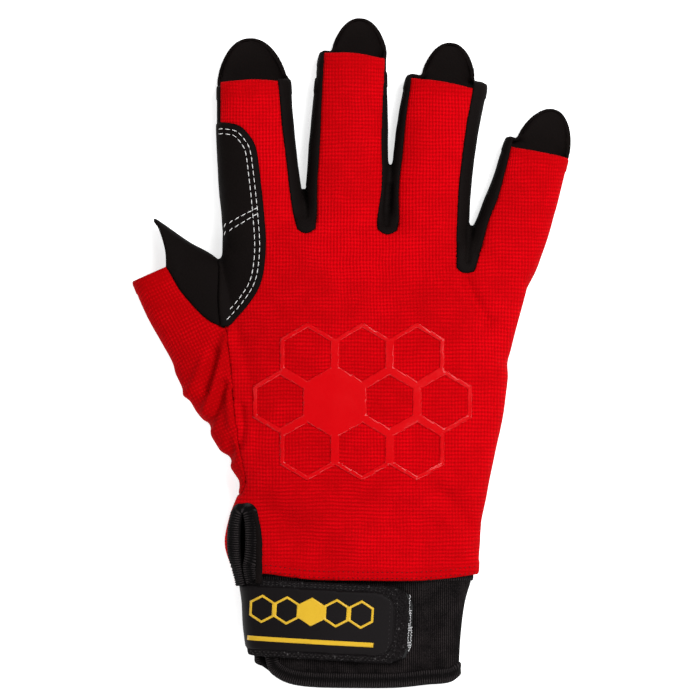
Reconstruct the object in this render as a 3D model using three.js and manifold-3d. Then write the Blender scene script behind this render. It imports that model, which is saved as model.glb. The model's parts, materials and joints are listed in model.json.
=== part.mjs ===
// A climbing glove for the right hand, lying on its palm: a knit back, a leather palm whose finger
// fronts run past the open finger ends, forked side walls between the fingers, a leather patch on
// the index finger, and a neoprene cuff with a keyhole vent, a ribbed edge and a wrist strap.
// Millimetres. +X is to the right seen from above, with the thumb at -X; the fingers point to +Y; +Z is up.
import * as THREE from "three";
import { mergeVertices } from "three/addons/utils/BufferGeometryUtils.js";
import Module from "manifold-3d";

const wasm = await Module();
wasm.setup();

// Driving dimensions of the hand, its fingers and its cuff.
const PALM_WIDTH = 105;
const BACK_LENGTH = 121;
const HAND_HEIGHT = 23;
const FINGER_HEIGHT = 14.5;
const INDEX_LENGTH = 53;
const INDEX_WIDTH = 29;
const INDEX_TAB = 16;
const MIDDLE_LENGTH = 63;
const MIDDLE_WIDTH = 29;
const MIDDLE_TAB = 12.8;
const RING_LENGTH = 54.2;
const RING_WIDTH = 28.8;
const RING_TAB = 13.4;
const LITTLE_LENGTH = 42;
const LITTLE_WIDTH = 26.2;
const LITTLE_TAB = 15;
const THUMB_LENGTH = 70;
const THUMB_WIDTH = 31;
const THUMB_HEIGHT = 17;
const THUMB_ANGLE = 122;
const CUFF_LENGTH = 36.8;
const CUFF_WIDTH = 77;
const CUFF_HEIGHT = 14.2;
const TUCK = 5;

// Thicknesses, seams and trims.
const WALL = 1.4;
const GAP = 0.3;
const SEAM_HEIGHT = 4.2;
const PATCH_THICKNESS = 1.0;
const EDGE_WIDTH = 4.8;
const EDGE_SWELL = 0.8;
const STRAP_HEIGHT = CUFF_LENGTH * 0.735;
const STRAP_TILT = 3.2;
const STRAP_REACH = 59;
const STRAP_RETURN = 22;
const STRAP_STACK = 2.9;
const STRAP_START = 0.4;
const HOOK_THICKNESS = 1.0;
const HOOK_LENGTH = 24;
const HOOK_SHOW = 2.6;
const HOOK_MARGIN = 0.6;
const LABEL_THICKNESS = 0.7;
const LABEL_MARGIN = 2.4;
const VENT_LENGTH = 18.2;
const VENT_WIDTH = 5;
const SLIT_WIDTH = 2.4;
const FORK_RADIUS = 3.6;
const FORK_RISES = [0.026, 0.025, -0.055];

// Section shape: how round the sides are, and how finely rings are divided.
const SOLE_ROUND = 5;
const SIDE_SHARE = 0.42;
const DOME_POWER = 2.5;
const FAR = 200;

// The hand's two edges, as shares of the palm's width and the back's length, and at each row its
// height as a share of the hand's, and how far the row bows towards the fingers, as a share of the width.
const HAND_ROWS = [
  { leftX: -0.38, leftY: -0.055, rightX: 0.417, rightY: -0.055, high: 0.86, bow: 0 },
  { leftX: -0.4, leftY: 0.03, rightX: 0.42, rightY: 0.03, high: 0.86, bow: 0 },
  { leftX: -0.425, leftY: 0.11, rightX: 0.423, rightY: 0.11, high: 0.88, bow: 0 },
  { leftX: -0.408, leftY: 0.195, rightX: 0.436, rightY: 0.2, high: 0.9, bow: 0 },
  { leftX: -0.373, leftY: 0.285, rightX: 0.459, rightY: 0.29, high: 0.95, bow: 0 },
  { leftX: -0.387, leftY: 0.43, rightX: 0.494, rightY: 0.43, high: 1.0, bow: 0.01 },
  { leftX: -0.403, leftY: 0.58, rightX: 0.517, rightY: 0.57, high: 1.0, bow: 0.02 },
  { leftX: -0.42, leftY: 0.72, rightX: 0.532, rightY: 0.67, high: 0.97, bow: 0.04 },
  { leftX: -0.43, leftY: 0.86, rightX: 0.563, rightY: 0.77, high: 0.91, bow: 0.055 },
  { leftX: -0.43, leftY: 1.0, rightX: 0.592, rightY: 0.865, high: 0.83, bow: 0.065 },
  { leftX: -0.428, leftY: 1.05, rightX: 0.598, rightY: 0.895, high: 0.6, bow: 0.085 },
  { leftX: -0.422, leftY: 1.11, rightX: 0.603, rightY: 0.925, high: 0.26, bow: 0.115 },
];

// Where each finger leaves the hand, as shares of the palm's width and the back's length; its lean
// in degrees to the right; its height as a share of the fingers'; its bow, its tab's sideways place, and how wide each side wall
// shows as shares of its width; its width at the end as a share of its width at the root; and its
// tab's width as a share of the width at the end.
const FINGERS = [
  {
    name: "index",
    length: INDEX_LENGTH,
    width: INDEX_WIDTH,
    tab: INDEX_TAB,
    rootX: -0.29,
    rootY: 1.0,
    lean: -4.2,
    high: 1.0,
    bow: -0.03,
    taper: 0.9,
    tabX: -0.02,
    tabWide: 0.98,
    leftSide: 0.038,
    rightSide: 0.117,
  },
  {
    name: "middle",
    length: MIDDLE_LENGTH,
    width: MIDDLE_WIDTH,
    tab: MIDDLE_TAB,
    rootX: -0.017,
    rootY: 1.0,
    lean: 2.1,
    high: 1.0,
    bow: -0.02,
    taper: 0.83,
    tabX: 0.068,
    tabWide: 0.86,
    leftSide: 0.105,
    rightSide: 0.05,
  },
  {
    name: "ring",
    length: RING_LENGTH,
    width: RING_WIDTH,
    tab: RING_TAB,
    rootX: 0.252,
    rootY: 1.0,
    lean: 7,
    high: 0.97,
    bow: -0.035,
    taper: 0.98,
    tabX: 0.015,
    tabWide: 0.71,
    leftSide: 0.1,
    rightSide: 0.153,
  },
  {
    name: "little",
    length: LITTLE_LENGTH,
    width: LITTLE_WIDTH,
    tab: LITTLE_TAB,
    rootX: 0.4915,
    rootY: 0.92,
    lean: 18.7,
    high: 0.86,
    bow: 0.02,
    taper: 0.89,
    tabX: 0.06,
    tabWide: 0.87,
    leftSide: 0.148,
    rightSide: 0,
  },
];

// Along each finger: its height as a share of the fingers', and how far it has tapered.
const FINGER_ROWS = [
  { along: -0.25, high: 1.05, tapered: 1.2 },
  { along: 0, high: 1.22, tapered: 0 },
  { along: 0.3, high: 1.06, tapered: 0.08 },
  { along: 0.65, high: 0.97, tapered: 0.5 },
  { along: 1, high: 0.9, tapered: 1 },
];

// Past the open end the finger closes like a fingertip, as shares of the tab's length and width and
// the finger's end height. Only its leather front is kept there.
const TIP_ROWS = [
  { along: 0.03, wide: 1, high: 0.98 },
  { along: 0.28, wide: 0.93, high: 0.9 },
  { along: 0.52, wide: 0.8, high: 0.8 },
  { along: 0.75, wide: 0.61, high: 0.68 },
  { along: 0.92, wide: 0.37, high: 0.56 },
  { along: 1, wide: 0.13, high: 0.5 },
];

// The thumb's root as shares of the palm's width and the back's length, and its two edges as shares
// of its own length and width.
const THUMB_ROOT = { x: -0.34, y: 0.463 };
const THUMB_ROWS = [
  { leftAlong: -0.231, leftX: -0.445, rightAlong: -0.174, rightX: 0.419, high: 1.06 },
  { leftAlong: 0.005, leftX: -0.445, rightAlong: 0.133, rightX: 0.587, high: 1.08 },
  { leftAlong: 0.217, leftX: -0.455, rightAlong: 0.467, rightX: 0.658, high: 1.0 },
  { leftAlong: 0.453, leftX: -0.4, rightAlong: 0.744, rightX: 0.674, high: 0.9 },
  { leftAlong: 0.68, leftX: -0.374, rightAlong: 0.919, rightX: 0.494, high: 0.8 },
  { leftAlong: 0.853, leftX: -0.316, rightAlong: 1.066, rightX: 0.342, high: 0.72 },
  { leftAlong: 0.961, leftX: -0.284, rightAlong: 1.159, rightX: 0.245, high: 0.66 },
];

// The cut through the thumb's open end, and the seam between its leather and its knit, in the
// thumb's own shares. The leather runs out to a point beside the opening.
const THUMB_END = [
  { along: 0.918, x: -0.6 },
  { along: 0.872, x: 0.113 },
  { along: 0.936, x: 0.197 },
  { along: 1.019, x: 0.26 },
  { along: 1.109, x: 0.297 },
  { along: 1.2, x: 0.3 },
  { along: 1.4, x: -0.6 },
];
const THUMB_SEAM = [
  { along: 1.3, x: 0.12 },
  { along: 0.864, x: 0.113 },
  { along: 0.737, x: 0.106 },
  { along: 0.621, x: 0.142 },
  { along: 0.536, x: 0.194 },
  { along: 0.47, x: 0.287 },
  { along: 0.4, x: 0.42 },
];

// The seam round the thumb's base, the patch and the cuff's edges, as shares of the palm's width and
// the back's length.
const THUMB_BASE_SEAM = [
  { x: -0.507, y: 1.128 },
  { x: -0.457, y: 0.983 },
  { x: -0.433, y: 0.92 },
  { x: -0.433, y: 0.81 },
  { x: -0.424, y: 0.738 },
  { x: -0.412, y: 0.694 },
  { x: -0.403, y: 0.607 },
  { x: -0.39, y: 0.492 },
  { x: -0.374, y: 0.376 },
  { x: -0.356, y: 0.29 },
  { x: -0.37, y: 0.25 },
  { x: -0.84, y: 0.23 },
];
const PATCH_OUTLINE = [
  { x: -0.448, y: 1.322 },
  { x: -0.42, y: 1.322 },
  { x: -0.373, y: 1.312 },
  { x: -0.337, y: 1.28 },
  { x: -0.317, y: 1.243 },
  { x: -0.305, y: 1.17 },
  { x: -0.291, y: 1.055 },
  { x: -0.285, y: 0.954 },
  { x: -0.3, y: 0.861 },
  { x: -0.343, y: 0.795 },
  { x: -0.41, y: 0.73 },
  { x: -0.427, y: 0.74 },
  { x: -0.428, y: 0.85 },
  { x: -0.433, y: 0.98 },
  { x: -0.444, y: 1.18 },
];

// The cuff's two edges from inside the hand to the hem, as shares of its width and length.
const CUFF_ROWS = [
  { leftX: -0.472, rightX: 0.54, along: 0.02, high: 1.0 },
  { leftX: -0.46, rightX: 0.515, along: 0.2, high: 1.0 },
  { leftX: -0.453, rightX: 0.498, along: 0.45, high: 1.02 },
  { leftX: -0.434, rightX: 0.488, along: 0.75, high: 1.04 },
  { leftX: -0.41, rightX: 0.484, along: 1.15, high: 1.06 },
];

// The slit that lets the cuff widen runs from the vent towards the hem along the left edge: its
// centre as shares of the cuff's width and length. It ends in the hem's corner.
const SLIT_ROWS = [
  { x: -0.498, along: -0.12 },
  { x: -0.47, along: 0.15 },
  { x: -0.435, along: 0.5 },
  { x: -0.385, along: 0.9 },
];

// The cuff's hem, with its rounded corners, as shares of the cuff's width and length.
const HEM_ROWS = [
  { x: -0.6, along: 0.66 },
  { x: -0.464, along: 0.755 },
  { x: -0.42, along: 0.81 },
  { x: -0.378, along: 0.875 },
  { x: -0.332, along: 0.94 },
  { x: -0.278, along: 0.985 },
  { x: -0.18, along: 1.012 },
  { x: 0, along: 1.02 },
  { x: 0.2, along: 1.018 },
  { x: 0.34, along: 1.0 },
  { x: 0.42, along: 0.985 },
  { x: 0.465, along: 0.95 },
  { x: 0.495, along: 0.89 },
  { x: 0.6, along: 0.8 },
];

// The back's wrist hem, as shares of the palm's width and the back's length.
const WRIST_ROWS = [
  { x: -0.6, y: 0.015 },
  { x: -0.3, y: 0.005 },
  { x: -0.15, y: -0.002 },
  { x: 0.02, y: -0.005 },
  { x: 0.2, y: -0.003 },
  { x: 0.31, y: 0.006 },
  { x: 0.43, y: 0.018 },
  { x: 0.6, y: 0.03 },
];

// Soft dents in the back, as shares of the palm's width and the back's length, turned by an angle
// in degrees, with their length, width and depth in shares of the hand's height.
const DENTS = [
  { x: 0.31, y: 0.72, angle: 80, long: 0.9, wide: 0.3, deep: 0.09 },
  { x: -0.39, y: 0.4, angle: 95, long: 1.3, wide: 0.25, deep: 0.12 },
  { x: -0.47, y: 0.58, angle: 55, long: 0.9, wide: 0.22, deep: 0.12 },
  { x: 0.2, y: 0.1, angle: 5, long: 1.6, wide: 0.4, deep: 0.06 },
];

const KNIT_RED = 0xd4080c;
const LEATHER_BLACK = 0x141213;
const NEOPRENE_BLACK = 0x1b191b;
const EDGE_BLACK = 0x100f10;
const HOOK_GREY = 0x6a6a6c;

// Geometry as a solid, and a solid as a named mesh.
function solidOf(geometry) {
  const bare = geometry.clone();
  for (const attribute of ["normal", "uv"]) {
    bare.deleteAttribute(attribute);
  }
  const merged = mergeVertices(bare, 1e-4);
  return new wasm.Manifold(
    new wasm.Mesh({
      numProp: 3,
      vertProperties: merged.attributes.position.array,
      triVerts: new Uint32Array(merged.index.array),
    }),
  );
}

function largestBody(shape) {
  const bodies = shape.decompose();
  return bodies.reduce((best, body) => (body.volume() > best.volume() ? body : best));
}

function meshOf(name, shape, colour, roughness) {
  const made = largestBody(shape).getMesh();
  const geometry = new THREE.BufferGeometry();
  geometry.setAttribute("position", new THREE.BufferAttribute(made.vertProperties, 3));
  geometry.setIndex(new THREE.BufferAttribute(made.triVerts, 1));
  geometry.computeVertexNormals();
  const material = new THREE.MeshStandardMaterial({ color: colour, roughness, metalness: 0 });
  const mesh = new THREE.Mesh(geometry, material);
  mesh.name = name;
  return mesh;
}

// A plan outline pulled up through a range of heights.
function prism(points, low = -FAR, high = FAR) {
  const geometry = new THREE.ExtrudeGeometry(new THREE.Shape(points), {
    depth: high - low,
    bevelEnabled: false,
  });
  return solidOf(geometry.translate(0, 0, low));
}

function slab(low, high) {
  const geometry = new THREE.BoxGeometry(2 * FAR, 2 * FAR, high - low);
  return solidOf(geometry.translate(0, 0, (low + high) / 2));
}

// A line of plan points moved sideways, to the right of its own direction.
function beside(points, distance) {
  return points.map((point, i) => {
    const before = points[Math.max(i - 1, 0)];
    const after = points[Math.min(i + 1, points.length - 1)];
    const way = after.clone().sub(before).normalize();
    return new THREE.Vector2(point.x + way.y * distance, point.y - way.x * distance);
  });
}

function smooth(points, steps) {
  return new THREE.SplineCurve(points).getPoints(steps);
}

// Places in the hand, the thumb and the cuff.
const onHand = (row) => new THREE.Vector2(row.x * PALM_WIDTH, row.y * BACK_LENGTH);
const onCuff = (row) => new THREE.Vector2(row.x * CUFF_WIDTH, -row.along * CUFF_LENGTH);

function inFrame(root, degrees, along, across) {
  const turn = THREE.MathUtils.degToRad(degrees);
  return new THREE.Vector2(
    root.x + along * Math.cos(turn) + across * Math.sin(turn),
    root.y + along * Math.sin(turn) - across * Math.cos(turn),
  );
}

function onThumb(row) {
  return inFrame(onHand(THUMB_ROOT), THUMB_ANGLE, row.along * THUMB_LENGTH, row.x * THUMB_WIDTH);
}

// A point of a finger: along its centreline from its root, and across it, in millimetres.
function onFinger(finger, along, across) {
  const share = THREE.MathUtils.clamp(along / finger.length, 0, 1);
  const bow = finger.bow * finger.width * 4 * share * (1 - share);
  const root = onHand({ x: finger.rootX, y: finger.rootY });
  return inFrame(root, 90 - finger.lean, along, across + bow);
}

function fingerWidth(finger, tapered) {
  return finger.width * THREE.MathUtils.lerp(1, finger.taper, tapered);
}

function dentDepth(x, y) {
  let depth = 0;
  for (const dent of DENTS) {
    const turn = THREE.MathUtils.degToRad(dent.angle);
    const centre = onHand(dent);
    const along = (x - centre.x) * Math.cos(turn) + (y - centre.y) * Math.sin(turn);
    const across = (y - centre.y) * Math.cos(turn) - (x - centre.x) * Math.sin(turn);
    const reach = (along / (dent.long * HAND_HEIGHT)) ** 2 + (across / (dent.wide * HAND_HEIGHT)) ** 2;
    depth += dent.deep * HAND_HEIGHT * Math.exp(-reach);
  }
  return depth;
}

// One ring of a limb: a flat sole, round sides and a domed top, between two points of the plan.
function ringOf(section, domeSteps) {
  const { left, right, sole, top, bow } = section;
  const across = right.clone().sub(left);
  const half = across.length() / 2;
  across.normalize();
  const middle = left.clone().add(right).multiplyScalar(0.5);
  const side = sole + (top - sole) * SIDE_SHARE;
  const round = Math.min(SOLE_ROUND, half * 0.6);
  const profile = [];
  for (const turn of [0, 30, 60, 90]) {
    const angle = THREE.MathUtils.degToRad(turn);
    profile.push([half - round + round * Math.sin(angle), side - (side - sole) * Math.cos(angle)]);
  }
  const dome = [];
  for (let i = 1; i < domeSteps; i++) {
    const angle = (Math.PI * i) / domeSteps;
    const out = Math.sign(Math.cos(angle)) * Math.abs(Math.cos(angle)) ** (2 / DOME_POWER);
    dome.push([half * out, side + (top - side) * Math.sin(angle) ** (2 / DOME_POWER)]);
  }
  const mirrored = profile.map(([s, z]) => [-s, z]).reverse();
  return [...profile, ...dome, ...mirrored].map(([s, z]) => {
    const forward = bow * (1 - (s / half) ** 2);
    const x = middle.x + across.x * s - across.y * forward;
    const y = middle.y + across.y * s + across.x * forward;
    const softness = Math.max(0, (z - side) / (top - side));
    return new THREE.Vector3(x, y, z - dentDepth(x, y) * softness);
  });
}

// A closed body through rings of equal count.
function loft(rings) {
  const count = rings[0].length;
  const vertices = [];
  const faces = [];
  for (const ring of rings) {
    ring.forEach((point) => vertices.push(point.x, point.y, point.z));
  }
  for (let i = 0; i + 1 < rings.length; i++) {
    for (let j = 0; j < count; j++) {
      const k = (j + 1) % count;
      const [a, b, c, d] = [i * count + j, i * count + k, (i + 1) * count + k, (i + 1) * count + j];
      faces.push(a, d, c, a, c, b);
    }
  }
  for (const end of [0, rings.length - 1]) {
    const centre = new THREE.Vector3();
    rings[end].forEach((point) => centre.addScaledVector(point, 1 / count));
    const hub = vertices.length / 3;
    vertices.push(centre.x, centre.y, centre.z);
    for (let j = 0; j < count; j++) {
      const a = end * count + j;
      const b = end * count + ((j + 1) % count);
      faces.push(...(end === 0 ? [hub, a, b] : [hub, b, a]));
    }
  }
  const geometry = new THREE.BufferGeometry();
  geometry.setAttribute("position", new THREE.Float32BufferAttribute(vertices, 3));
  geometry.setIndex(faces);
  return solidOf(geometry);
}

// Sections grown outwards on all sides, or inwards if the distance is negative.
function grown(sections, distance) {
  return sections.map((section, i) => {
    const across = section.right.clone().sub(section.left).normalize();
    const forward = new THREE.Vector2(-across.y, across.x);
    const ends = { 0: -distance, [sections.length - 1]: distance };
    const shift = forward.multiplyScalar(ends[i] ?? 0);
    return {
      ...section,
      left: section.left.clone().addScaledVector(across, -distance).add(shift),
      right: section.right.clone().addScaledVector(across, distance).add(shift),
      sole: section.sole - distance,
      top: section.top + distance,
    };
  });
}

// Sections sampled along a limb's two smooth edges and its smooth heights.
function sampled(rows, steps) {
  const left = new THREE.SplineCurve(rows.map((row) => row.left));
  const right = new THREE.SplineCurve(rows.map((row) => row.right));
  const lift = new THREE.CatmullRomCurve3(
    rows.map((row) => new THREE.Vector3(row.sole, row.top, row.bow)),
    false,
    "catmullrom",
    0.5,
  );
  const sections = [];
  for (let i = 0; i <= steps; i++) {
    const at = lift.getPoint(i / steps);
    sections.push({
      left: left.getPoint(i / steps),
      right: right.getPoint(i / steps),
      sole: at.x,
      top: at.y,
      bow: at.z,
    });
  }
  return sections;
}

function handSections() {
  const rows = HAND_ROWS.map((row) => ({
    left: onHand({ x: row.leftX, y: row.leftY }),
    right: onHand({ x: row.rightX, y: row.rightY }),
    sole: 0,
    top: row.high * HAND_HEIGHT,
    bow: row.bow * PALM_WIDTH,
  }));
  return sampled(rows, 15);
}

function fingerSections(finger, growth) {
  const across = (along, width, high) => ({
    left: onFinger(finger, along, -width / 2 - growth),
    right: onFinger(finger, along, width / 2 + growth),
    sole: -growth,
    top: high + growth,
    bow: 0,
  });
  const sections = FINGER_ROWS.map((row) => {
    const width = fingerWidth(finger, row.tapered);
    return across(row.along * finger.length, width, row.high * finger.high * FINGER_HEIGHT);
  });
  const endWidth = fingerWidth(finger, 1) * finger.tabWide;
  const endHigh = FINGER_ROWS.at(-1).high * finger.high * FINGER_HEIGHT;
  for (const row of TIP_ROWS) {
    const along = finger.length + row.along * (finger.tab + growth);
    const section = across(along, row.wide * endWidth, row.high * endHigh);
    const shift = onFinger(finger, along, finger.tabX * finger.width);
    shift.sub(onFinger(finger, along, 0));
    section.left.add(shift);
    section.right.add(shift);
    sections.push(section);
  }
  return sections;
}

function thumbSections() {
  const rows = THUMB_ROWS.map((row) => ({
    left: onThumb({ along: row.leftAlong, x: row.leftX }),
    right: onThumb({ along: row.rightAlong, x: row.rightX }),
    sole: 0,
    top: row.high * THUMB_HEIGHT,
    bow: 0,
  }));
  return sampled(rows, 12);
}

function cuffSections() {
  const rows = CUFF_ROWS.map((row) => ({
    left: new THREE.Vector2(row.leftX * CUFF_WIDTH, -row.along * CUFF_LENGTH),
    right: new THREE.Vector2(row.rightX * CUFF_WIDTH, -row.along * CUFF_LENGTH),
    sole: STRAP_STACK,
    top: STRAP_STACK + row.high * CUFF_HEIGHT,
    bow: 0,
  }));
  const tucked = grown(handSections(), -WALL - GAP).slice(1, 2);
  tucked[0].left.y = TUCK;
  tucked[0].right.y = TUCK;
  return [...sampled(rows, 6).reverse(), ...tucked];
}

// The whole hand with its fingers and thumb, and the cuff, as closed bodies grown by a distance.
function handBody(growth) {
  const limbs = [
    loft(grown(handSections(), growth).map((section) => ringOf(section, 14))),
    loft(grown(thumbSections(), growth).map((section) => ringOf(section, 8))),
    ...FINGERS.map((finger) => loft(fingerSections(finger, growth).map((s) => ringOf(s, 8)))),
  ];
  return limbs.reduce((body, limb) => body.add(limb));
}

function cuffBody(growth) {
  return loft(grown(cuffSections(), growth).map((section) => ringOf(section, 12)));
}

// Plan regions.
function sideSeam(finger, side, growth) {
  const inset = (side < 0 ? finger.leftSide : finger.rightSide) * finger.width + growth;
  return [1.5, 1, 0.75, 0.5, 0.28].map((share) => {
    const across = fingerWidth(finger, share) / 2 - inset;
    return onFinger(finger, share * finger.length, side * across);
  });
}

// From one finger's seam down round the bottom of the fork and up the next finger's seam.
function forkRegion({ near, far, rise }, growth) {
  const down = sideSeam(near, 1, growth);
  const up = sideSeam(far, -1, growth);
  const rootNear = onFinger(near, 0, near.width / 2);
  const rootFar = onFinger(far, 0, -far.width / 2);
  const floor = rootNear.clone().add(rootFar).multiplyScalar(0.5);
  floor.y += rise * BACK_LENGTH;
  const radius = FORK_RADIUS + growth;
  const lean = THREE.MathUtils.degToRad((near.lean + far.lean) / 2);
  const bottom = [];
  for (const turn of [180, 225, 270, 315, 360]) {
    const angle = THREE.MathUtils.degToRad(turn) - lean;
    bottom.push(new THREE.Vector2(floor.x + radius * Math.cos(angle), floor.y + radius * Math.sin(angle)));
  }
  return smooth([...down, ...bottom, ...up.reverse()], 26);
}

function fingerEnd(finger) {
  const far = finger.length + finger.tab * 2;
  const wide = finger.width * 0.75;
  return [
    onFinger(finger, finger.length, -wide),
    onFinger(finger, finger.length, wide),
    onFinger(finger, far, wide),
    onFinger(finger, far, -wide),
  ];
}

// The palm's leather climbs the index finger's outer side, up to the back's edge.
function indexSide(growth) {
  const index = FINGERS[0];
  const seam = sideSeam(index, -1, growth);
  const low = index.length * 0.15 - growth;
  const corner = onFinger(index, low, -index.width / 2);
  const top = onFinger(index, index.length * 1.5, -index.width);
  return [top, ...seam, corner, onFinger(index, low, -index.width)].reverse();
}

function thumbRegion(growth) {
  const seam = smooth(THUMB_BASE_SEAM.slice(0, -1).map(onHand), 22);
  const corner = onHand(THUMB_BASE_SEAM.at(-1));
  const top = new THREE.Vector2(corner.x, seam[0].y);
  return [...beside(seam, -growth), corner, top];
}

function thumbLeather(growth) {
  const seam = smooth(THUMB_SEAM.map(onThumb), 14);
  const far = onThumb({ along: THUMB_SEAM.at(-1).along, x: 2 });
  const top = onThumb({ along: THUMB_SEAM[0].along, x: 2 });
  return [...beside(seam, growth), far, top].reverse();
}

function thumbCut() {
  const arc = smooth(THUMB_END.slice(1, -1).map(onThumb), 10);
  return [onThumb(THUMB_END[0]), ...arc, onThumb(THUMB_END.at(-1))];
}

// The keyhole: a teardrop vent above the wrist, then the slit.
function keyhole(growth) {
  const slit = SLIT_ROWS.map(onCuff);
  const ventTop = new THREE.Vector2(slit[0].x, slit[0].y + VENT_LENGTH);
  const vent = [0.15, 0.45, 0.8].map((share) => {
    const wide = (VENT_WIDTH / 2) * Math.sin(Math.PI * (0.25 + share * 0.5));
    const centre = new THREE.Vector2().lerpVectors(ventTop, slit[0], share);
    return { centre, wide };
  });
  const line = [...vent, ...slit.map((centre) => ({ centre, wide: SLIT_WIDTH / 2 }))];
  const right = line.map(({ centre, wide }) => new THREE.Vector2(centre.x + wide, centre.y));
  const left = line.map(({ centre, wide }) => new THREE.Vector2(centre.x - wide, centre.y)).reverse();
  return beside(smooth([...left, ventTop, ...right], 28), -growth).reverse();
}

// The plan below the cuff's hem.
function hemCut(growth) {
  const line = beside(smooth(HEM_ROWS.map(onCuff), 30), -growth);
  const close = [new THREE.Vector2(line.at(-1).x, -FAR), new THREE.Vector2(line[0].x, -FAR)];
  return [...line, ...close].reverse();
}

// The plan above or below the wrist hem.
function wristSide(side, growth) {
  const line = beside(smooth(WRIST_ROWS.map(onHand), 16), side * growth);
  const close = [new THREE.Vector2(FAR, side * FAR), new THREE.Vector2(-FAR, side * FAR)];
  const points = [new THREE.Vector2(-FAR, line[0].y), ...line, new THREE.Vector2(FAR, line.at(-1).y), ...close];
  return side > 0 ? points : points.reverse();
}

// The strap's plan: along the cuff from its left edge to a rounded free end.
function strapRegion(reach, growth) {
  const start = -CUFF_WIDTH / 2;
  const top = -STRAP_START - growth;
  const bottom = -STRAP_START - STRAP_HEIGHT + growth;
  const end = start + reach - growth;
  const round = STRAP_HEIGHT * 0.22;
  const corners = [
    [-FAR, top],
    [end - round, top],
    [end - round * 0.25, top - round * 0.35],
    [end, top - round],
    [end, bottom + round],
    [end - round * 0.3, bottom + round * 0.3],
    [end - round, bottom],
    [-FAR, bottom],
  ];
  const pivot = new THREE.Vector2(start, top);
  const tilt = -THREE.MathUtils.degToRad(STRAP_TILT);
  return corners.map(([x, y]) => new THREE.Vector2(x, y).rotateAround(pivot, tilt)).reverse();
}

// Shells and cutters.
const handOuter = handBody(0);
const handShell = handOuter.subtract(handBody(-WALL));
const cuffOuter = cuffBody(0);
const cuffShell = cuffOuter.subtract(cuffBody(-WALL));
const seamLow = slab(-FAR, SEAM_HEIGHT - GAP / 2);
const seamHigh = slab(SEAM_HEIGHT + GAP / 2, FAR);
const cuffMiddle = STRAP_STACK + CUFF_HEIGHT * SIDE_SHARE;
const topHalf = slab(cuffMiddle, FAR);
const lowHalf = slab(-FAR, cuffMiddle - GAP);
const aboveWrist = prism(wristSide(1, 0));
const forks = FINGERS.slice(1).map((finger, i) => ({ near: FINGERS[i], far: finger, rise: FORK_RISES[i] }));
const ends = FINGERS.map((finger) => prism(fingerEnd(finger)));
const handVent = prism(keyhole(EDGE_WIDTH + GAP)).intersect(topHalf);
const body = handShell.intersect(aboveWrist).subtract(handVent);

// The back of the hand and the four finger backs, in one piece of knit.
function backPanel() {
  let shape = body.intersect(seamHigh);
  for (const fork of forks) {
    shape = shape.subtract(prism(forkRegion(fork, GAP)));
  }
  for (const end of ends) {
    shape = shape.subtract(end);
  }
  shape = shape.subtract(prism(thumbRegion(GAP)));
  return shape.subtract(prism(indexSide(GAP)));
}

// The palm with its finger fronts and their round tabs, which also climbs the index finger's side.
function palmPanel() {
  const side = prism(indexSide(0)).subtract(ends[0]);
  const shape = body.intersect(seamLow.add(side));
  return shape.subtract(prism(thumbRegion(GAP)));
}

function fourchette(fork) {
  let shape = body.intersect(seamHigh).intersect(prism(forkRegion(fork, 0)));
  for (const end of ends) {
    shape = shape.subtract(end);
  }
  return shape;
}

const thumbShell = body.intersect(prism(thumbRegion(0))).subtract(prism(thumbCut()));

function thumbBack() {
  return thumbShell.intersect(seamHigh).subtract(prism(thumbLeather(GAP)));
}

function thumbFront() {
  return thumbShell.intersect(seamLow.add(prism(thumbLeather(0))));
}

function indexPatch() {
  const layer = handBody(GAP + PATCH_THICKNESS).subtract(handBody(GAP));
  const outline = smooth(PATCH_OUTLINE.slice(1, 11).map(onHand), 24);
  const rest = [PATCH_OUTLINE[0], ...PATCH_OUTLINE.slice(11)].map(onHand);
  const region = prism([...outline, ...rest.slice(1), rest[0]].reverse());
  return layer.intersect(region).intersect(seamHigh).subtract(prism(thumbRegion(GAP)));
}

function cuffPiece() {
  const slit = prism(keyhole(EDGE_WIDTH + 2 * GAP)).intersect(slab(cuffMiddle - GAP, FAR));
  return cuffShell.subtract(prism(hemCut(EDGE_WIDTH + GAP))).subtract(slit);
}

function thickened(growBody, growth) {
  return growBody(growth).subtract(growBody(-WALL - growth));
}

// The ribbed tape that edges the vent, and the one that edges the slit, its corner and the hem.
const aroundKeyhole = prism(keyhole(EDGE_WIDTH)).subtract(prism(keyhole(0)));

function ventEdge() {
  const tape = thickened(handBody, EDGE_SWELL).intersect(topHalf).intersect(aroundKeyhole);
  return tape.intersect(prism(wristSide(1, -GAP)));
}

function hemEdge() {
  const along = prism(hemCut(EDGE_WIDTH)).add(aroundKeyhole.intersect(topHalf));
  const slit = topHalf.intersect(prism(keyhole(0)));
  const region = along.subtract(slit).subtract(prism(hemCut(0)));
  return thickened(cuffBody, EDGE_SWELL).intersect(region).intersect(prism(wristSide(-1, -GAP)));
}

const hookPlan = prism(strapRegion(STRAP_REACH + HOOK_SHOW, HOOK_MARGIN));
const hookArea = prism([
  new THREE.Vector2(STRAP_REACH - CUFF_WIDTH / 2 - HOOK_LENGTH, -FAR),
  new THREE.Vector2(FAR, -FAR),
  new THREE.Vector2(FAR, FAR),
  new THREE.Vector2(STRAP_REACH - CUFF_WIDTH / 2 - HOOK_LENGTH, FAR),
]);

function hookPad() {
  const layer = cuffBody(GAP + HOOK_THICKNESS).subtract(cuffBody(GAP));
  return layer.intersect(hookPlan).intersect(hookArea).intersect(topHalf);
}

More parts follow.
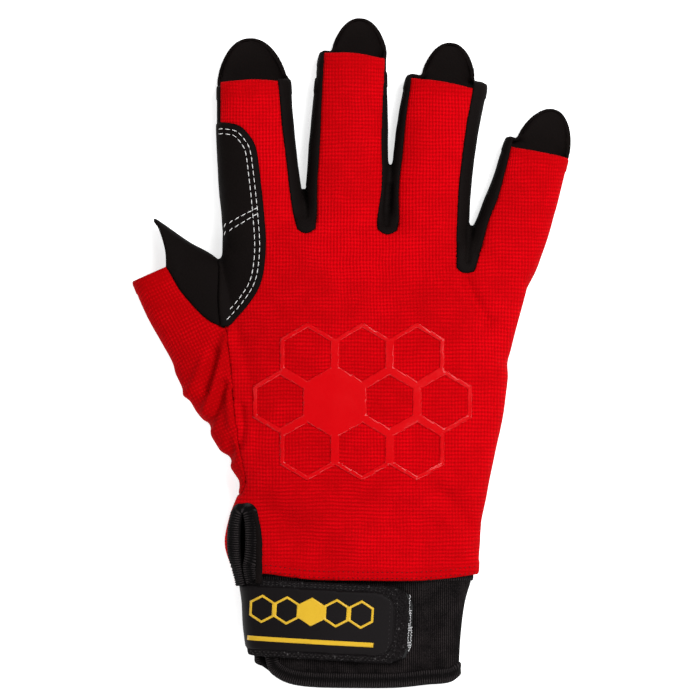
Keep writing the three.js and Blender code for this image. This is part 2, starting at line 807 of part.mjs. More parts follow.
function wristStrap() {
  const layer = cuffBody(STRAP_STACK).subtract(cuffBody(GAP));
  const above = prism(strapRegion(STRAP_REACH, 0)).intersect(slab(cuffMiddle, FAR));
  const below = prism(strapRegion(STRAP_RETURN, 0)).intersect(slab(-FAR, cuffMiddle));
  const overTape = cuffBody(EDGE_SWELL + GAP).intersect(prism(keyhole(EDGE_WIDTH + GAP)));
  const overHooks = cuffBody(HOOK_THICKNESS + 2 * GAP).intersect(hookArea);
  const shape = layer.intersect(above.add(below));
  return shape.subtract(overTape).subtract(overHooks.intersect(topHalf));
}

function strapLabel() {
  const floor = STRAP_STACK + GAP;
  const layer = cuffBody(floor + LABEL_THICKNESS).subtract(cuffBody(floor));
  return layer.intersect(prism(strapRegion(STRAP_REACH - LABEL_MARGIN, LABEL_MARGIN))).intersect(topHalf);
}

const glove = new THREE.Group();
glove.add(
  meshOf("back_panel", backPanel(), KNIT_RED, 0.85),
  meshOf("palm_panel", palmPanel(), LEATHER_BLACK, 0.65),
  meshOf("thumb_back", thumbBack(), KNIT_RED, 0.85),
  meshOf("thumb_front", thumbFront(), LEATHER_BLACK, 0.65),
  meshOf("index_patch", indexPatch(), LEATHER_BLACK, 0.6),
  meshOf("cuff", cuffPiece(), NEOPRENE_BLACK, 0.9),
  meshOf("vent_edge", ventEdge(), EDGE_BLACK, 0.9),
  meshOf("hem_edge", hemEdge(), EDGE_BLACK, 0.9),
  meshOf("wrist_strap", wristStrap(), NEOPRENE_BLACK, 0.85),
  meshOf("hook_pad", hookPad(), HOOK_GREY, 0.8),
  meshOf("strap_label", strapLabel(), LEATHER_BLACK, 0.5),
);
for (const fork of forks) {
  const name = `fourchette_${fork.near.name}_${fork.far.name}`;
  glove.add(meshOf(name, fourchette(fork), LEATHER_BLACK, 0.7));
}

// The origin is below the middle of the glove, on the surface that it lies on.
const bounds = new THREE.Box3().setFromObject(glove);
const centre = bounds.getCenter(new THREE.Vector3());
glove.position.set(-centre.x, -centre.y, -bounds.min.z);

export default glove;
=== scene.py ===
# Looks of a climbing glove for the right hand, lying on its palm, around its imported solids.
# The forms are worked out in millimetres in the hand's frame: +X is to the right seen from above, the
# fingers point to +Y, +Z is up. Each finished piece is then moved into the row's frame, in metres.
import json
import math

import bmesh
import bpy
import numpy as np
from mathutils import Matrix, Vector, noise
from mathutils.bvhtree import BVHTree
from mathutils.kdtree import KDTree

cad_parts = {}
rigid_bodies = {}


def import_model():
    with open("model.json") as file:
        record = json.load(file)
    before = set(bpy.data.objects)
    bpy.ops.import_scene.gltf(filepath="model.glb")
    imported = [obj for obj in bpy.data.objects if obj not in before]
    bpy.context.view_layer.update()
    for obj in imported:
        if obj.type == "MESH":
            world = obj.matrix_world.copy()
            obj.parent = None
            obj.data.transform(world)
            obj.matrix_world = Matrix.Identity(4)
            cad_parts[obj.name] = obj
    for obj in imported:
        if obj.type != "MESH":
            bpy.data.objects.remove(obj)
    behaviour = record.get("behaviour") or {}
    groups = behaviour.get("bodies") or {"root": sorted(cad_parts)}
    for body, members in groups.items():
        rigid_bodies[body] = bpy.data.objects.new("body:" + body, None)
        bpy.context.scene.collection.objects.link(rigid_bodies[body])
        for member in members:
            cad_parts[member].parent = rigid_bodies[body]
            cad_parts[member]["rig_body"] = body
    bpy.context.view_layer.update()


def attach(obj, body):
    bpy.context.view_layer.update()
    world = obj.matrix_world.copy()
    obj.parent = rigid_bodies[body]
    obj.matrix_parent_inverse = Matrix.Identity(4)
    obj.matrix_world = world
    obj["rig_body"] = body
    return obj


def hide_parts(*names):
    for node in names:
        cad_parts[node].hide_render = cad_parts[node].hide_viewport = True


# The camera looks straight down, with the fingers up in the picture.
VIEW_WIDTH = 0.245
LENS = 400
SENSOR = 36
AIM = Vector((-0.0006, 0.0009, 0.007))
camera = bpy.data.objects.new("camera", bpy.data.cameras.new("camera"))
camera.data.lens = LENS
camera.data.sensor_width = SENSOR
camera.data.clip_end = 10
camera.location = AIM + Vector((0, 0, VIEW_WIDTH * LENS / SENSOR))
bpy.context.scene.collection.objects.link(camera)
bpy.context.scene.camera = camera
bpy.context.scene.view_settings.view_transform = "Standard"

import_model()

# From the hand's frame in millimetres to the row's frame in metres.
TO_METRES = 0.001
ROW_SHIFT = Vector((0.0887, -79.5825, 0.0139))

# Driving dimensions of the hand, its fingers and its cuff. Most are the solids' own. The strap's place
# and tilt, the hook tape's show, the vent's length, the wrist and hem rows and the finger ends differ
# from the solids by up to 3 mm, to follow the photograph.
PALM_WIDTH = 105
BACK_LENGTH = 121
HAND_HEIGHT = 23
FINGER_HEIGHT = 14.5
THUMB_LENGTH = 70
THUMB_WIDTH = 31
THUMB_HEIGHT = 17
THUMB_ANGLE = 122
CUFF_LENGTH = 36.8
CUFF_WIDTH = 77
CUFF_HEIGHT = 14.2
TUCK = 5
WALL = 1.2
FLOOR_GAP = 0.02
SEAM_HEIGHT = 4.2
PATCH_THICKNESS = 0.9
EDGE_WIDTH = 4.8
EDGE_SWELL = 0.7
STRAP_HEIGHT = CUFF_LENGTH * 0.735
STRAP_TILT = 3.1
STRAP_REACH = 59
STRAP_RETURN = 22
STRAP_STACK = 2.9
STRAP_START = -1.0
HOOK_LENGTH = 24
HOOK_SHOW = 1.9
LABEL_MARGIN = 2.4
VENT_LENGTH = 19.8
VENT_WIDTH = 5
SLIT_WIDTH = 2.4
NARROWEST_HALF = 0.45
FORK_RADIUS = 3.6
FORK_RISES = (0.026, 0.025, -0.055)
SOLE_ROUND = 5
SIDE_SHARE = 0.42
DOME_POWER = 2.5
FAR = 200

# The hand's left edge (x, y) and right edge (x, y), as shares of the palm's width and the back's
# length, its height as a share of the hand's, and its bow towards the fingers.
HAND_ROWS = (
    (-0.38, -0.055, 0.417, -0.055, 0.86, 0),
    (-0.4, 0.03, 0.42, 0.03, 0.86, 0),
    (-0.425, 0.11, 0.423, 0.11, 0.88, 0),
    (-0.408, 0.195, 0.436, 0.2, 0.9, 0),
    (-0.373, 0.285, 0.459, 0.29, 0.95, 0),
    (-0.387, 0.43, 0.494, 0.43, 1.0, 0.01),
    (-0.403, 0.58, 0.517, 0.57, 1.0, 0.02),
    (-0.42, 0.72, 0.532, 0.67, 0.97, 0.04),
    (-0.43, 0.86, 0.563, 0.77, 0.91, 0.055),
    (-0.43, 1.0, 0.592, 0.865, 0.83, 0.065),
    (-0.428, 1.05, 0.598, 0.895, 0.6, 0.085),
    (-0.422, 1.11, 0.603, 0.925, 0.26, 0.115),
)

# Each finger's length, width and tab in millimetres, its root as shares of the palm's width and the
# back's length, its lean in degrees, and shares of its height, its bow, its taper, its tab's sideways
# place and width, and its side walls' widths. Then, in millimetres, how much narrower the side walls
# get towards the open end, and how far the knit's end reaches at its left, in its middle and right.
FINGER_KEYS = (
    "name", "length", "width", "tab", "root_x", "root_y", "lean", "high", "bow", "taper",
    "tab_x", "tab_wide", "left_side", "right_side", "left_open", "right_open", "ends",
)
FINGERS = [
    dict(zip(FINGER_KEYS, row))
    for row in (
        (
            "index", 53, 29, 16, -0.29, 1.0, -4.2, 1.0, -0.03, 0.9,
            -0.02, 0.98, 0.038, 0.117, 0, -1.0, (1.2, 1.3, -0.2),
        ),
        (
            "middle", 63, 29, 12.8, -0.017, 1.0, 2.1, 1.0, -0.02, 0.83,
            0.068, 0.86, 0.105, 0.05, 1.6, 0.8, (0.2, 0.4, -1.0),
        ),
        (
            "ring", 54.2, 28.8, 13.4, 0.252, 1.0, 7, 0.97, -0.035, 0.98,
            0.015, 0.71, 0.1, 0.153, 1.4, 0, (-0.6, -0.7, -2.0),
        ),
        (
            "little", 42, 26.2, 15, 0.4915, 0.92, 18.7, 0.86, 0.02, 0.89,
            0.06, 0.87, 0.148, 0, 1.7, 0, (-2.6, -1.2, 0),
        ),
    )
]

# Along each finger: its height as a share of the fingers', and how far it has tapered. Past the open
# end come shares of the tab's length, width and height.
FINGER_ROWS = ((-0.25, 1.05, 1.2), (0, 1.22, 0), (0.3, 1.06, 0.08), (0.65, 0.97, 0.5), (1, 0.9, 1))
TIP_ROWS = (
    (0.03, 1, 0.98), (0.28, 0.93, 0.9), (0.52, 0.8, 0.8),
    (0.75, 0.61, 0.68), (0.92, 0.37, 0.56), (1, 0.13, 0.5),
)

# The thumb's left edge (along, across) and right edge (along, across), and its height, as shares.
THUMB_ROOT = (-0.34, 0.463)
THUMB_ROWS = (
    (-0.231, -0.445, -0.174, 0.419, 1.06),
    (0.005, -0.445, 0.133, 0.587, 1.08),
    (0.217, -0.455, 0.467, 0.658, 1.0),
    (0.453, -0.4, 0.744, 0.674, 0.9),
    (0.68, -0.374, 0.919, 0.494, 0.8),
    (0.853, -0.316, 1.066, 0.342, 0.72),
    (0.961, -0.284, 1.159, 0.245, 0.66),
)
THUMB_END = (
    (0.918, -0.6), (0.872, 0.113), (0.936, 0.197), (1.019, 0.26),
    (1.109, 0.297), (1.2, 0.3), (1.4, -0.6),
)
THUMB_SEAM = (
    (1.3, 0.12), (0.864, 0.113), (0.737, 0.106), (0.621, 0.142),
    (0.536, 0.194), (0.47, 0.287), (0.4, 0.42),
)

# Seams and outlines on the hand, as shares of the palm's width and the back's length.
THUMB_BASE_SEAM = (
    (-0.507, 1.128), (-0.457, 0.983), (-0.433, 0.92), (-0.433, 0.81), (-0.424, 0.738),
    (-0.412, 0.694), (-0.403, 0.607), (-0.39, 0.492), (-0.374, 0.376), (-0.356, 0.29),
    (-0.37, 0.25), (-0.84, 0.23),
)
PATCH_OUTLINE = (
    (-0.448, 1.322), (-0.42, 1.322), (-0.373, 1.312), (-0.337, 1.28), (-0.317, 1.243),
    (-0.305, 1.17), (-0.291, 1.055), (-0.285, 0.954), (-0.3, 0.861), (-0.343, 0.795),
    (-0.41, 0.73),
)
WRIST_ROWS = (
    (-0.6, -0.03), (-0.42, -0.014), (-0.34, 0.006), (-0.29, 0.02), (-0.15, 0.005),
    (0.02, 0.001), (0.2, 0.0), (0.31, 0.006), (0.43, 0.018), (0.6, 0.03),
)

# The cuff's left edge, right edge, distance from the wrist and height; its slit; and its hem.
CUFF_ROWS = (
    (-0.472, 0.54, 0.02, 1.0),
    (-0.46, 0.515, 0.2, 1.0),
    (-0.453, 0.498, 0.45, 1.02),
    (-0.434, 0.488, 0.75, 1.04),
    (-0.41, 0.484, 1.15, 1.06),
)
SLIT_ROWS = ((-0.498, -0.12), (-0.47, 0.15), (-0.435, 0.5), (-0.385, 0.9))
HEM_ROWS = (
    (-0.6, 0.66), (-0.464, 0.755), (-0.42, 0.8), (-0.378, 0.853), (-0.332, 0.92),
    (-0.278, 0.966), (-0.18, 0.994), (0, 1.002), (0.2, 1.0), (0.34, 0.972), (0.42, 0.962),
    (0.465, 0.94), (0.495, 0.89), (0.6, 0.8),
)

# How finely limbs are divided and fused.
SIDE_STEPS = 10
DOME_STEPS = 56
SOLE_STEPS = 12
HAND_STEPS = 60
LIMB_STEPS = 44
VOXEL = 0.75
HAND_SMOOTHING = 9
CUFF_SMOOTHING = 4
MERGE_SHARE = 0.22

# Seams rolled in by a depth over a reach; the height below which cloth coordinates run down the
# sides; and how far the thumb's threads are turned.
SEAM_DEPTH = 0.5
SEAM_REACH = 1.6
CLOTH_LEVEL = 12
THREAD_TURN = 27

# Folds of the back, in millimetres: a line, its half width, and its height, below 0 for a valley.
FOLDS = (
    (((-47.6, 79.5), (-49, 74.2), (-51.3, 66.5)), 1.9, -2.6),
    (((-43, 86.5), (-45.5, 79.8), (-48.3, 69.6), (-51.1, 58.8)), 1.5, 1.7),
    (((-52.1, 76.5), (-54.6, 70.7), (-56.9, 65.5)), 1.6, 1.1),
    (((-44.8, 68.5), (-46.5, 62.3), (-50.6, 53.8)), 1.5, -2.0),
    (((-43.4, 66), (-42.7, 57.7), (-42, 48.3)), 1.3, 1.3),
    (((-38.9, 61), (-38.1, 54.2), (-39.2, 47)), 1.4, -1.5),
    (((-42, 52), (-42.6, 46), (-43, 41.8)), 1.5, -1.9),
    (((-62, 71.5), (-59.5, 66)), 3.0, 1.2),
    (((-57.5, 62.5), (-55.5, 59.5)), 3.0, 0.7),
    (((-48.5, 49.5), (-46, 46)), 3.0, 1.1),
    (((-42.8, 39.6), (-41, 36)), 2.6, 1.4),
    (((-46.5, 146), (-45.5, 130)), 7.0, -0.7),
    (((-31.5, 26), (-8, 9.5)), 6.0, -0.9),
    (((-18, 28), (10, 8.5)), 7.0, 0.7),
    (((30, 31.5), (36, 26), (42, 18.5)), 3.6, -1.7),
    (((34, 10.5), (40, 13.5), (44, 18)), 2.8, 0.9),
    (((40, 104.5), (44, 95.5), (48, 90)), 1.9, -1.6),
    (((57, 74.5), (53, 77.5)), 2.6, -0.9),
    (((46, 101), (52, 96)), 3.0, 0.5),
    (((22, 50.5), (35.5, 39.5)), 4.5, -0.8),
    (((15, 24.5), (28, 19.3)), 5.0, -0.6),
    (((-27, 78), (-24, 62), (-28, 50)), 6.0, -0.5),
    (((-3, 108), (-2, 96)), 3.5, -0.35),
    (((-44, -9), (-43.6, 0)), 4.5, -1.1),
    (((-16.8, 137), (-16.1, 127.5)), 0.9, -1.3),
    (((13, 138), (12.2, 125)), 0.9, -1.3),
    (((41.5, 124), (40.4, 111.5)), 0.9, -1.3),
    (((24, 108), (22, 97)), 3.5, -0.3),
)
HEM_WIDTH = 5.0
HEM_FADE = 0.5
HEM_LIFT = 0.25

# Unevenness of the hand's surface: the size of its bumps and their height, broad, small and underneath.
BROAD_SIZE = 21
BROAD_LIFT = 0.55
SMALL_SIZE = 6.5
SMALL_LIFT = 0.16
UNDER_LIFT = 0.12


# Lines, frames and sections.
def spline(points, steps):
    """A smooth line through points, divided into equal steps."""
    points = [Vector(point) for point in points]
    last = len(points) - 1
    line = []
    for step in range(steps + 1):
        place = last * step / steps
        index = min(int(place), last - 1)
        share = place - index
        before = points[max(index - 1, 0)]
        start = points[index]
        end = points[index + 1]
        after = points[min(index + 2, last)]
        straight = (end - before) * share
        bend = (2 * before - 5 * start + 4 * end - after) * share**2
        twist = (3 * start - before - 3 * end + after) * share**3
        line.append(start + (straight + bend + twist) / 2)
    return line


def beside(points, distance):
    """A line of plan points moved sideways, to the right of its own direction."""
    moved = []
    for index, point in enumerate(points):
        before = points[max(index - 1, 0)]
        after = points[min(index + 1, len(points) - 1)]
        way = (after - before).normalized()
        moved.append(Vector((point.x + way.y * distance, point.y - way.x * distance)))
    return moved


def on_hand(row):
    return Vector((row[0] * PALM_WIDTH, row[1] * BACK_LENGTH))


def on_cuff(row):
    return Vector((row[0] * CUFF_WIDTH, -row[1] * CUFF_LENGTH))


def in_frame(root, degrees, along, across):
    turn = math.radians(degrees)
    x = root.x + along * math.cos(turn) + across * math.sin(turn)
    y = root.y + along * math.sin(turn) - across * math.cos(turn)
    return Vector((x, y))


def on_thumb(row):
    return in_frame(on_hand(THUMB_ROOT), THUMB_ANGLE, row[0] * THUMB_LENGTH, row[1] * THUMB_WIDTH)


def on_finger(finger, along, across):
    share = min(max(along / finger["length"], 0), 1)
    bow = finger["bow"] * finger["width"] * 4 * share * (1 - share)
    root = on_hand((finger["root_x"], finger["root_y"]))
    return in_frame(root, 90 - finger["lean"], along, across + bow)


def traced(place, rows, steps):
    """A smooth line through a table's rows, each placed by one of the frames."""
    return spline([place(row) for row in rows], steps)


def wrist_line():
    return traced(on_hand, WRIST_ROWS, steps=48)


def finger_width(finger, tapered):
    return finger["width"] * (1 + (finger["taper"] - 1) * tapered)


def section(left, right, sole, top, bow=0.0):
    """A limb's slice: its left and right plan points, its lowest and highest point, and its bow."""
    return Vector((left.x, left.y, right.x, right.y, sole, top, bow))


def sampled(sections, steps):
    """Sections between the given ones, on smooth lines."""
    plans = spline([row[:4] for row in sections], steps)
    lifts = spline([row[4:] for row in sections], steps)
    return [Vector((*plan, *lift)) for plan, lift in zip(plans, lifts)]


def grown(sections, distance):
    """Sections grown outwards on all sides, or inwards if the distance is negative."""
    made = []
    last = len(sections) - 1
    for index, row in enumerate(sections):
        left = Vector(row[0:2])
        right = Vector(row[2:4])
        across = (right - left).normalized()
        forward = Vector((-across.y, across.x))
        shift = forward * {0: -distance, last: distance}.get(index, 0)
        left = left - across * distance + shift
        right = right + across * distance + shift
        made.append(section(left, right, row[4] - distance, row[5] + distance, row[6]))
    return made


def ring(row):
    """A limb's outline at one section: a flat sole, round sides and a domed top, closed."""
    left = Vector(row[0:2])
    right = Vector(row[2:4])
    sole, top, bow = row[4:7]
    across = right - left
    half = across.length / 2
    across.normalize()
    middle = (left + right) / 2
    side = sole + (top - sole) * SIDE_SHARE
    corner = min(SOLE_ROUND, half * 0.6)
    flank = []
    for step in range(SIDE_STEPS + 1):
        angle = math.pi / 2 * step / SIDE_STEPS
        out = half - corner + corner * math.sin(angle)
        flank.append((out, side - (side - sole) * math.cos(angle)))
    dome = []
    for step in range(1, DOME_STEPS):
        angle = math.pi * step / DOME_STEPS
        reach = math.copysign(abs(math.cos(angle)) ** (2 / DOME_POWER), math.cos(angle))
        dome.append((half * reach, side + (top - side) * math.sin(angle) ** (2 / DOME_POWER)))
    mirrored = [(-out, high) for out, high in reversed(flank)]
    flat = half - corner
    floor = [(-flat + 2 * flat * step / SOLE_STEPS, sole) for step in range(1, SOLE_STEPS + 1)]
    points = []
    for out, high in flank + dome + mirrored + floor:
        forward = bow * (1 - (out / half) ** 2)
        x = middle.x + across.x * out - across.y * forward
        y = middle.y + across.y * out + across.x * forward
        points.append(Vector((x, y, high)))
    return points


def hand_sections():
    rows = []
    for left_x, left_y, right_x, right_y, high, bow in HAND_ROWS:
        left = on_hand((left_x, left_y))
        right = on_hand((right_x, right_y))
        rows.append(section(left, right, 0, high * HAND_HEIGHT, bow * PALM_WIDTH))
    return sampled(rows, HAND_STEPS)


def finger_sections(finger):
    rows = []
    for along, high, tapered in FINGER_ROWS:
        half = finger_width(finger, tapered) / 2
        place = along * finger["length"]
        left = on_finger(finger, place, -half)
        right = on_finger(finger, place, half)
        rows.append(section(left, right, 0, high * finger["high"] * FINGER_HEIGHT))
    end_half = finger_width(finger, 1) * finger["tab_wide"] / 2
    end_high = FINGER_ROWS[-1][1] * finger["high"] * FINGER_HEIGHT
    aside = finger["tab_x"] * finger["width"]
    for along, wide, high in TIP_ROWS:
        place = finger["length"] + along * finger["tab"]
        left = on_finger(finger, place, aside - wide * end_half)
        right = on_finger(finger, place, aside + wide * end_half)
        rows.append(section(left, right, 0, high * end_high))
    return sampled(rows, LIMB_STEPS + len(TIP_ROWS) * 6)


def thumb_sections():
    rows = []
    for left_along, left_x, right_along, right_x, high in THUMB_ROWS:
        left = on_thumb((left_along, left_x))
        right = on_thumb((right_along, right_x))
        rows.append(section(left, right, 0, high * THUMB_HEIGHT))
    return sampled(rows, LIMB_STEPS)


def cuff_rings(table):
    rows = []
    for left_x, right_x, along, high in reversed(table):
        left = on_cuff((left_x, along))
        right = on_cuff((right_x, along))
        rows.append(section(left, right, STRAP_STACK, STRAP_STACK + high * CUFF_HEIGHT))
    return sampled(rows, LIMB_STEPS)


def cuff_sections():
    inset = WALL + 0.5
    tucked = grown([hand_sections()[HAND_STEPS // 15]], -inset)[0]
    tucked[1] = TUCK
    tucked[3] = TUCK
    return cuff_rings(CUFF_ROWS) + [tucked]


# Meshes.
def placed(name, shape):
    """An object that holds the shape, which is used up."""
    mesh = bpy.data.meshes.new(name)
    shape.to_mesh(mesh)
    shape.free()
    made = bpy.data.objects.new(name, mesh)
    bpy.context.scene.collection.objects.link(made)
    return made


def edited(piece):
    """The piece's mesh, to change by hand and give back with returned()."""
    shape = bmesh.new()
    shape.from_mesh(piece.data)
    return shape


def returned(shape, piece):
    shape.to_mesh(piece.data)
    shape.free()
    piece.data.update()


def settled(piece):
    """The piece with its modifiers made part of its mesh."""
    depsgraph = bpy.context.evaluated_depsgraph_get()
    mesh = bpy.data.meshes.new_from_object(piece.evaluated_get(depsgraph))
    piece.modifiers.clear()
    used = piece.data
    piece.data = mesh
    bpy.data.meshes.remove(used)
    return piece


def near_line(points, line):
    """How far each of the points, as rows of an array, is from a line in plan."""
    best = np.full(len(points), np.inf)
    for start, end in zip(line, line[1:]):
        start = np.array(start[:2])
        way = np.array(end[:2]) - start
        share = np.clip((points[:, :2] - start) @ way / (way @ way), 0, 1)
        gap = points[:, :2] - start - share[:, None] * way
        best = np.minimum(best, np.hypot(gap[:, 0], gap[:, 1]))
    return best


def step_up(values, low, high):
    share = np.clip((values - low) / (high - low), 0, 1)
    return share * share * (3 - 2 * share)


def points_of(piece, kind="vertices", value="co"):
    """The piece's points, or the ways they face, as rows of an array."""
    source = getattr(piece.data, kind)
    rows = np.zeros(len(source) * 3)
    source.foreach_get(value, rows)
    return rows.reshape(-1, 3)


def put_back(piece, points):
    piece.data.vertices.foreach_set("co", points.ravel())
    piece.data.update()
    return piece


def in_finger(finger, points):
    """How far each point is along the finger, and how far beside its middle."""
    start = np.array(on_finger(finger, 0, 0))
    way = np.array(on_finger(finger, finger["length"] * 2, 0)) - start
    way /= np.linalg.norm(way)
    gap = points[:, :2] - start
    return gap @ way, np.abs(gap @ np.array((way[1], -way[0])))


def hem_share(points):
    """1 on the folded hems at the ends of the finger backs and at the wrist, 0 elsewhere."""
    share = np.zeros(len(points))
    for finger in FINGERS:
        along, across = in_finger(finger, points)
        hem = finger["length"] - HEM_WIDTH
        band = step_up(along, hem, hem + HEM_FADE)
        share = np.maximum(share, band * (across < finger["width"] * 0.75))
    for line in ([on_thumb(row) for row in THUMB_END[:2]], wrist_line()):
        band = 1 - step_up(near_line(points, line), HEM_WIDTH - HEM_FADE, HEM_WIDTH)
        share = np.maximum(share, band)
    return share


def creased(body):
    """Folds, a slight unevenness and the hems' steps moved into the body's surface."""
    points = points_of(body)
    normals = points_of(body, "vertex_normals", "vector")
    upper = step_up(normals[:, 2], -0.5, 0.2)
    lift = np.zeros(len(points))
    for line, half, height in FOLDS:
        lift += height * np.exp(-((near_line(points, line) / half) ** 2))
    broad = [noise.noise(Vector(point) / BROAD_SIZE) for point in points]
    small = [noise.noise(Vector(point) / SMALL_SIZE + Vector((9, 4, 2))) for point in points]
    lift += np.array(broad) * BROAD_LIFT + np.array(small) * SMALL_LIFT
    lift += hem_share(points) * HEM_LIFT
    points += normals * (lift * upper)[:, None]
    under = np.array(small) * UNDER_LIFT * (1 - upper)
    points[:, 2] = np.maximum(points[:, 2] + np.maximum(under, 0), 0)
    return put_back(body, points)


def removed(*pieces):
    for piece in pieces:
        mesh = piece.data
        bpy.data.objects.remove(piece)
        bpy.data.meshes.remove(mesh)


def tube(name, rings, joined=False):
    """A closed body through rings of points; joined, its last ring meets its first."""
    around = len(rings[0])
    along = len(rings) if joined else len(rings) - 1
    shape = bmesh.new()
    bmesh.ops.create_grid(shape, x_segments=around, y_segments=along, size=1)
    for vert in shape.verts:
        column = round((vert.co.x + 1) / 2 * around) % around
        row = round((vert.co.y + 1) / 2 * along) % len(rings)
        vert.co = rings[row][column]
    bmesh.ops.remove_doubles(shape, verts=shape.verts, dist=0.0005)
    if not joined:
        rim = [edge for edge in shape.edges if edge.is_boundary]
        bmesh.ops.holes_fill(shape, edges=rim, sides=0)
    bmesh.ops.recalc_face_normals(shape, faces=shape.faces)
    return placed(name, shape)


def limb(name, sections):
    """A closed body through the rings of its sections."""
    return tube(name, [ring(row) for row in sections])


def fused(name, parts, smoothing):
    """One closed body from overlapping ones."""
    shape = bmesh.new()
    for part in parts:
        shape.from_mesh(part.data)
    removed(*parts)
    body = placed(name, shape)
    remesh = body.modifiers.new("fuse", "REMESH")
    remesh.mode = "VOXEL"
    remesh.voxel_size = VOXEL
    even = body.modifiers.new("even", "SMOOTH")
    even.factor = 0.5
    even.iterations = smoothing
    settled(body)
    for face in body.data.polygons:
        face.use_smooth = True
    return body


def cuff_layer(name, growth):
    """A body round the cuff, carried on straight past the wrist."""
    start = (*CUFF_ROWS[0][:2], -0.12, CUFF_ROWS[0][3])
    return fused(name, [limb(name, grown(cuff_rings((start, *CUFF_ROWS)), growth))], CUFF_SMOOTHING)


def prism(name, outline, low=-FAR, high=FAR):
    """A plan outline pulled up through a range of heights, to cut with."""
    shape = bmesh.new()
    corners = [shape.verts.new((point[0], point[1], low)) for point in outline]
    bottom = shape.faces.new(corners)
    raised = bmesh.ops.extrude_face_region(shape, geom=[bottom])["geom"]
    top = [part for part in raised if isinstance(part, bmesh.types.BMVert)]
    bmesh.ops.translate(shape, verts=top, vec=(0, 0, high - low))
    bmesh.ops.recalc_face_normals(shape, faces=shape.faces)
    bmesh.ops.triangulate(shape, faces=shape.faces)
    for face in shape.faces:
        face.material_index = 1
    return placed(name, shape)


def block(name, left=-FAR, ahead=FAR, low=-FAR, high=FAR):
    """A block to cut with, from left to the far right and from the far back to ahead."""
    return prism(name, ((left, -FAR), (FAR, -FAR), (FAR, ahead), (left, ahead)), low, high)


def combined(name, first, operation, second):
    """Two cutters as one."""
    piece = bpy.data.objects.new(name, first.data.copy())
    bpy.context.scene.collection.objects.link(piece)
    join = piece.modifiers.new("join", "BOOLEAN")
    join.operation = operation
    join.object = second
    join.solver = "MANIFOLD"
    settled(piece)
    for face in piece.data.polygons:
        face.material_index = 1
    return piece


def skin(name, body, keeps=(), drops=()):
    """The part of a body's surface that lies in all of keeps and none of drops."""
    piece = bpy.data.objects.new(name, body.data.copy())
    bpy.context.scene.collection.objects.link(piece)
    piece.data.materials.clear()
    for side in ("skin", "cut"):
        piece.data.materials.append(bpy.data.materials.get(side) or bpy.data.materials.new(side))
    for operation, cutters in (("INTERSECT", keeps), ("DIFFERENCE", drops)):
        for cutter in cutters:
            cut = piece.modifiers.new("cut", "BOOLEAN")
            cut.operation = operation
            cut.object = cutter
            cut.solver = "MANIFOLD"
            cut.material_mode = "INDEX"
    settled(piece)
    shape = edited(piece)
    walls = [face for face in shape.faces if face.material_index == 1]
    bmesh.ops.delete(shape, geom=walls, context="FACES")
    bmesh.ops.remove_doubles(shape, verts=shape.verts, dist=VOXEL * MERGE_SHARE)
    bmesh.ops.dissolve_degenerate(shape, edges=shape.edges, dist=0.01)
    bmesh.ops.delete(shape, geom=loose_faces(shape), context="FACES")
    returned(shape, piece)
    piece.data.materials.clear()
    return piece


def loose_faces(shape):
    """The faces that aren't in the shape's largest connected part."""
    unseen = dict.fromkeys(shape.faces)
    islands = []
    while unseen:
        front = [next(iter(unseen))]
        del unseen[front[0]]
        island = list(front)
        while front:
            face = front.pop()
            for edge in face.edges:
                for near in edge.link_faces:
                    if near in unseen:
                        del unseen[near]
                        front.append(near)
                        island.append(near)
        islands.append(island)
    islands.sort(key=len)
    return [face for island in islands[:-1] for face in island]


def mark_hems(piece):
    """Stores how much each point belongs to a folded hem."""
    share = hem_share(points_of(piece))
    layer = piece.data.attributes.new("hem", "FLOAT", "POINT")
    layer.data.foreach_set("value", share.astype(np.float32))


def flatten_tabs(piece):
    """The finger fronts laid flatter where they run past the open finger ends."""
    points = points_of(piece)
    keep = np.ones(len(points))
    for finger in FINGERS:
        along, across = in_finger(finger, points)
        past = step_up(along, finger["length"] - 1, finger["length"] + 5)
        keep = np.minimum(keep, 1 - 0.6 * past * (across < finger["width"] * 0.7))
    points[:, 2] *= keep
    put_back(piece, points)


def rim_tree(shape):
    """The open edges' points, to measure from."""
    rim = [vert for vert in shape.verts if vert.is_boundary]
    tree = KDTree(len(rim))
    for index, vert in enumerate(rim):
        tree.insert(vert.co, index)
    tree.balance()
    return tree


def steady_normals(shape):
    """The way each point faces; on an open edge, as its inner neighbours do."""
    normals = []
    for vert in shape.verts:
        facing = vert.normal.copy()
        if vert.is_boundary:
            inner = [edge.other_vert(vert) for edge in vert.link_edges if not edge.is_boundary]
            facing = sum((other.normal for other in inner), facing * 0.2).normalized()
        normals.append(facing)
    return normals


def rolled(piece, depth, reach):
    """The piece's open edges turned in, so that a seam lies in a valley."""
    shape = edited(piece)
    tree = rim_tree(shape)
    shape.normal_update()
    drops = []
    for vert in shape.verts:
        distance = tree.find(vert.co)[2]
        share = max(0.0, 1 - distance / reach)
        drops.append(depth * (1 - math.sqrt(max(0.0, 1 - share * share))))
    for vert, drop, normal in zip(shape.verts, drops, steady_normals(shape)):
        vert.co -= normal * drop
    returned(shape, piece)
    return piece


def moved_out(piece, distance, sideways=1.0):
    """The piece moved off the surface under it; where it faces sideways, by a share of that."""
    shape = edited(piece)
    shape.normal_update()
    for vert, normal in zip(shape.verts, steady_normals(shape)):
        vert.co += normal * distance * (sideways + (1 - sideways) * max(0, normal.z))
    returned(shape, piece)
    return piece


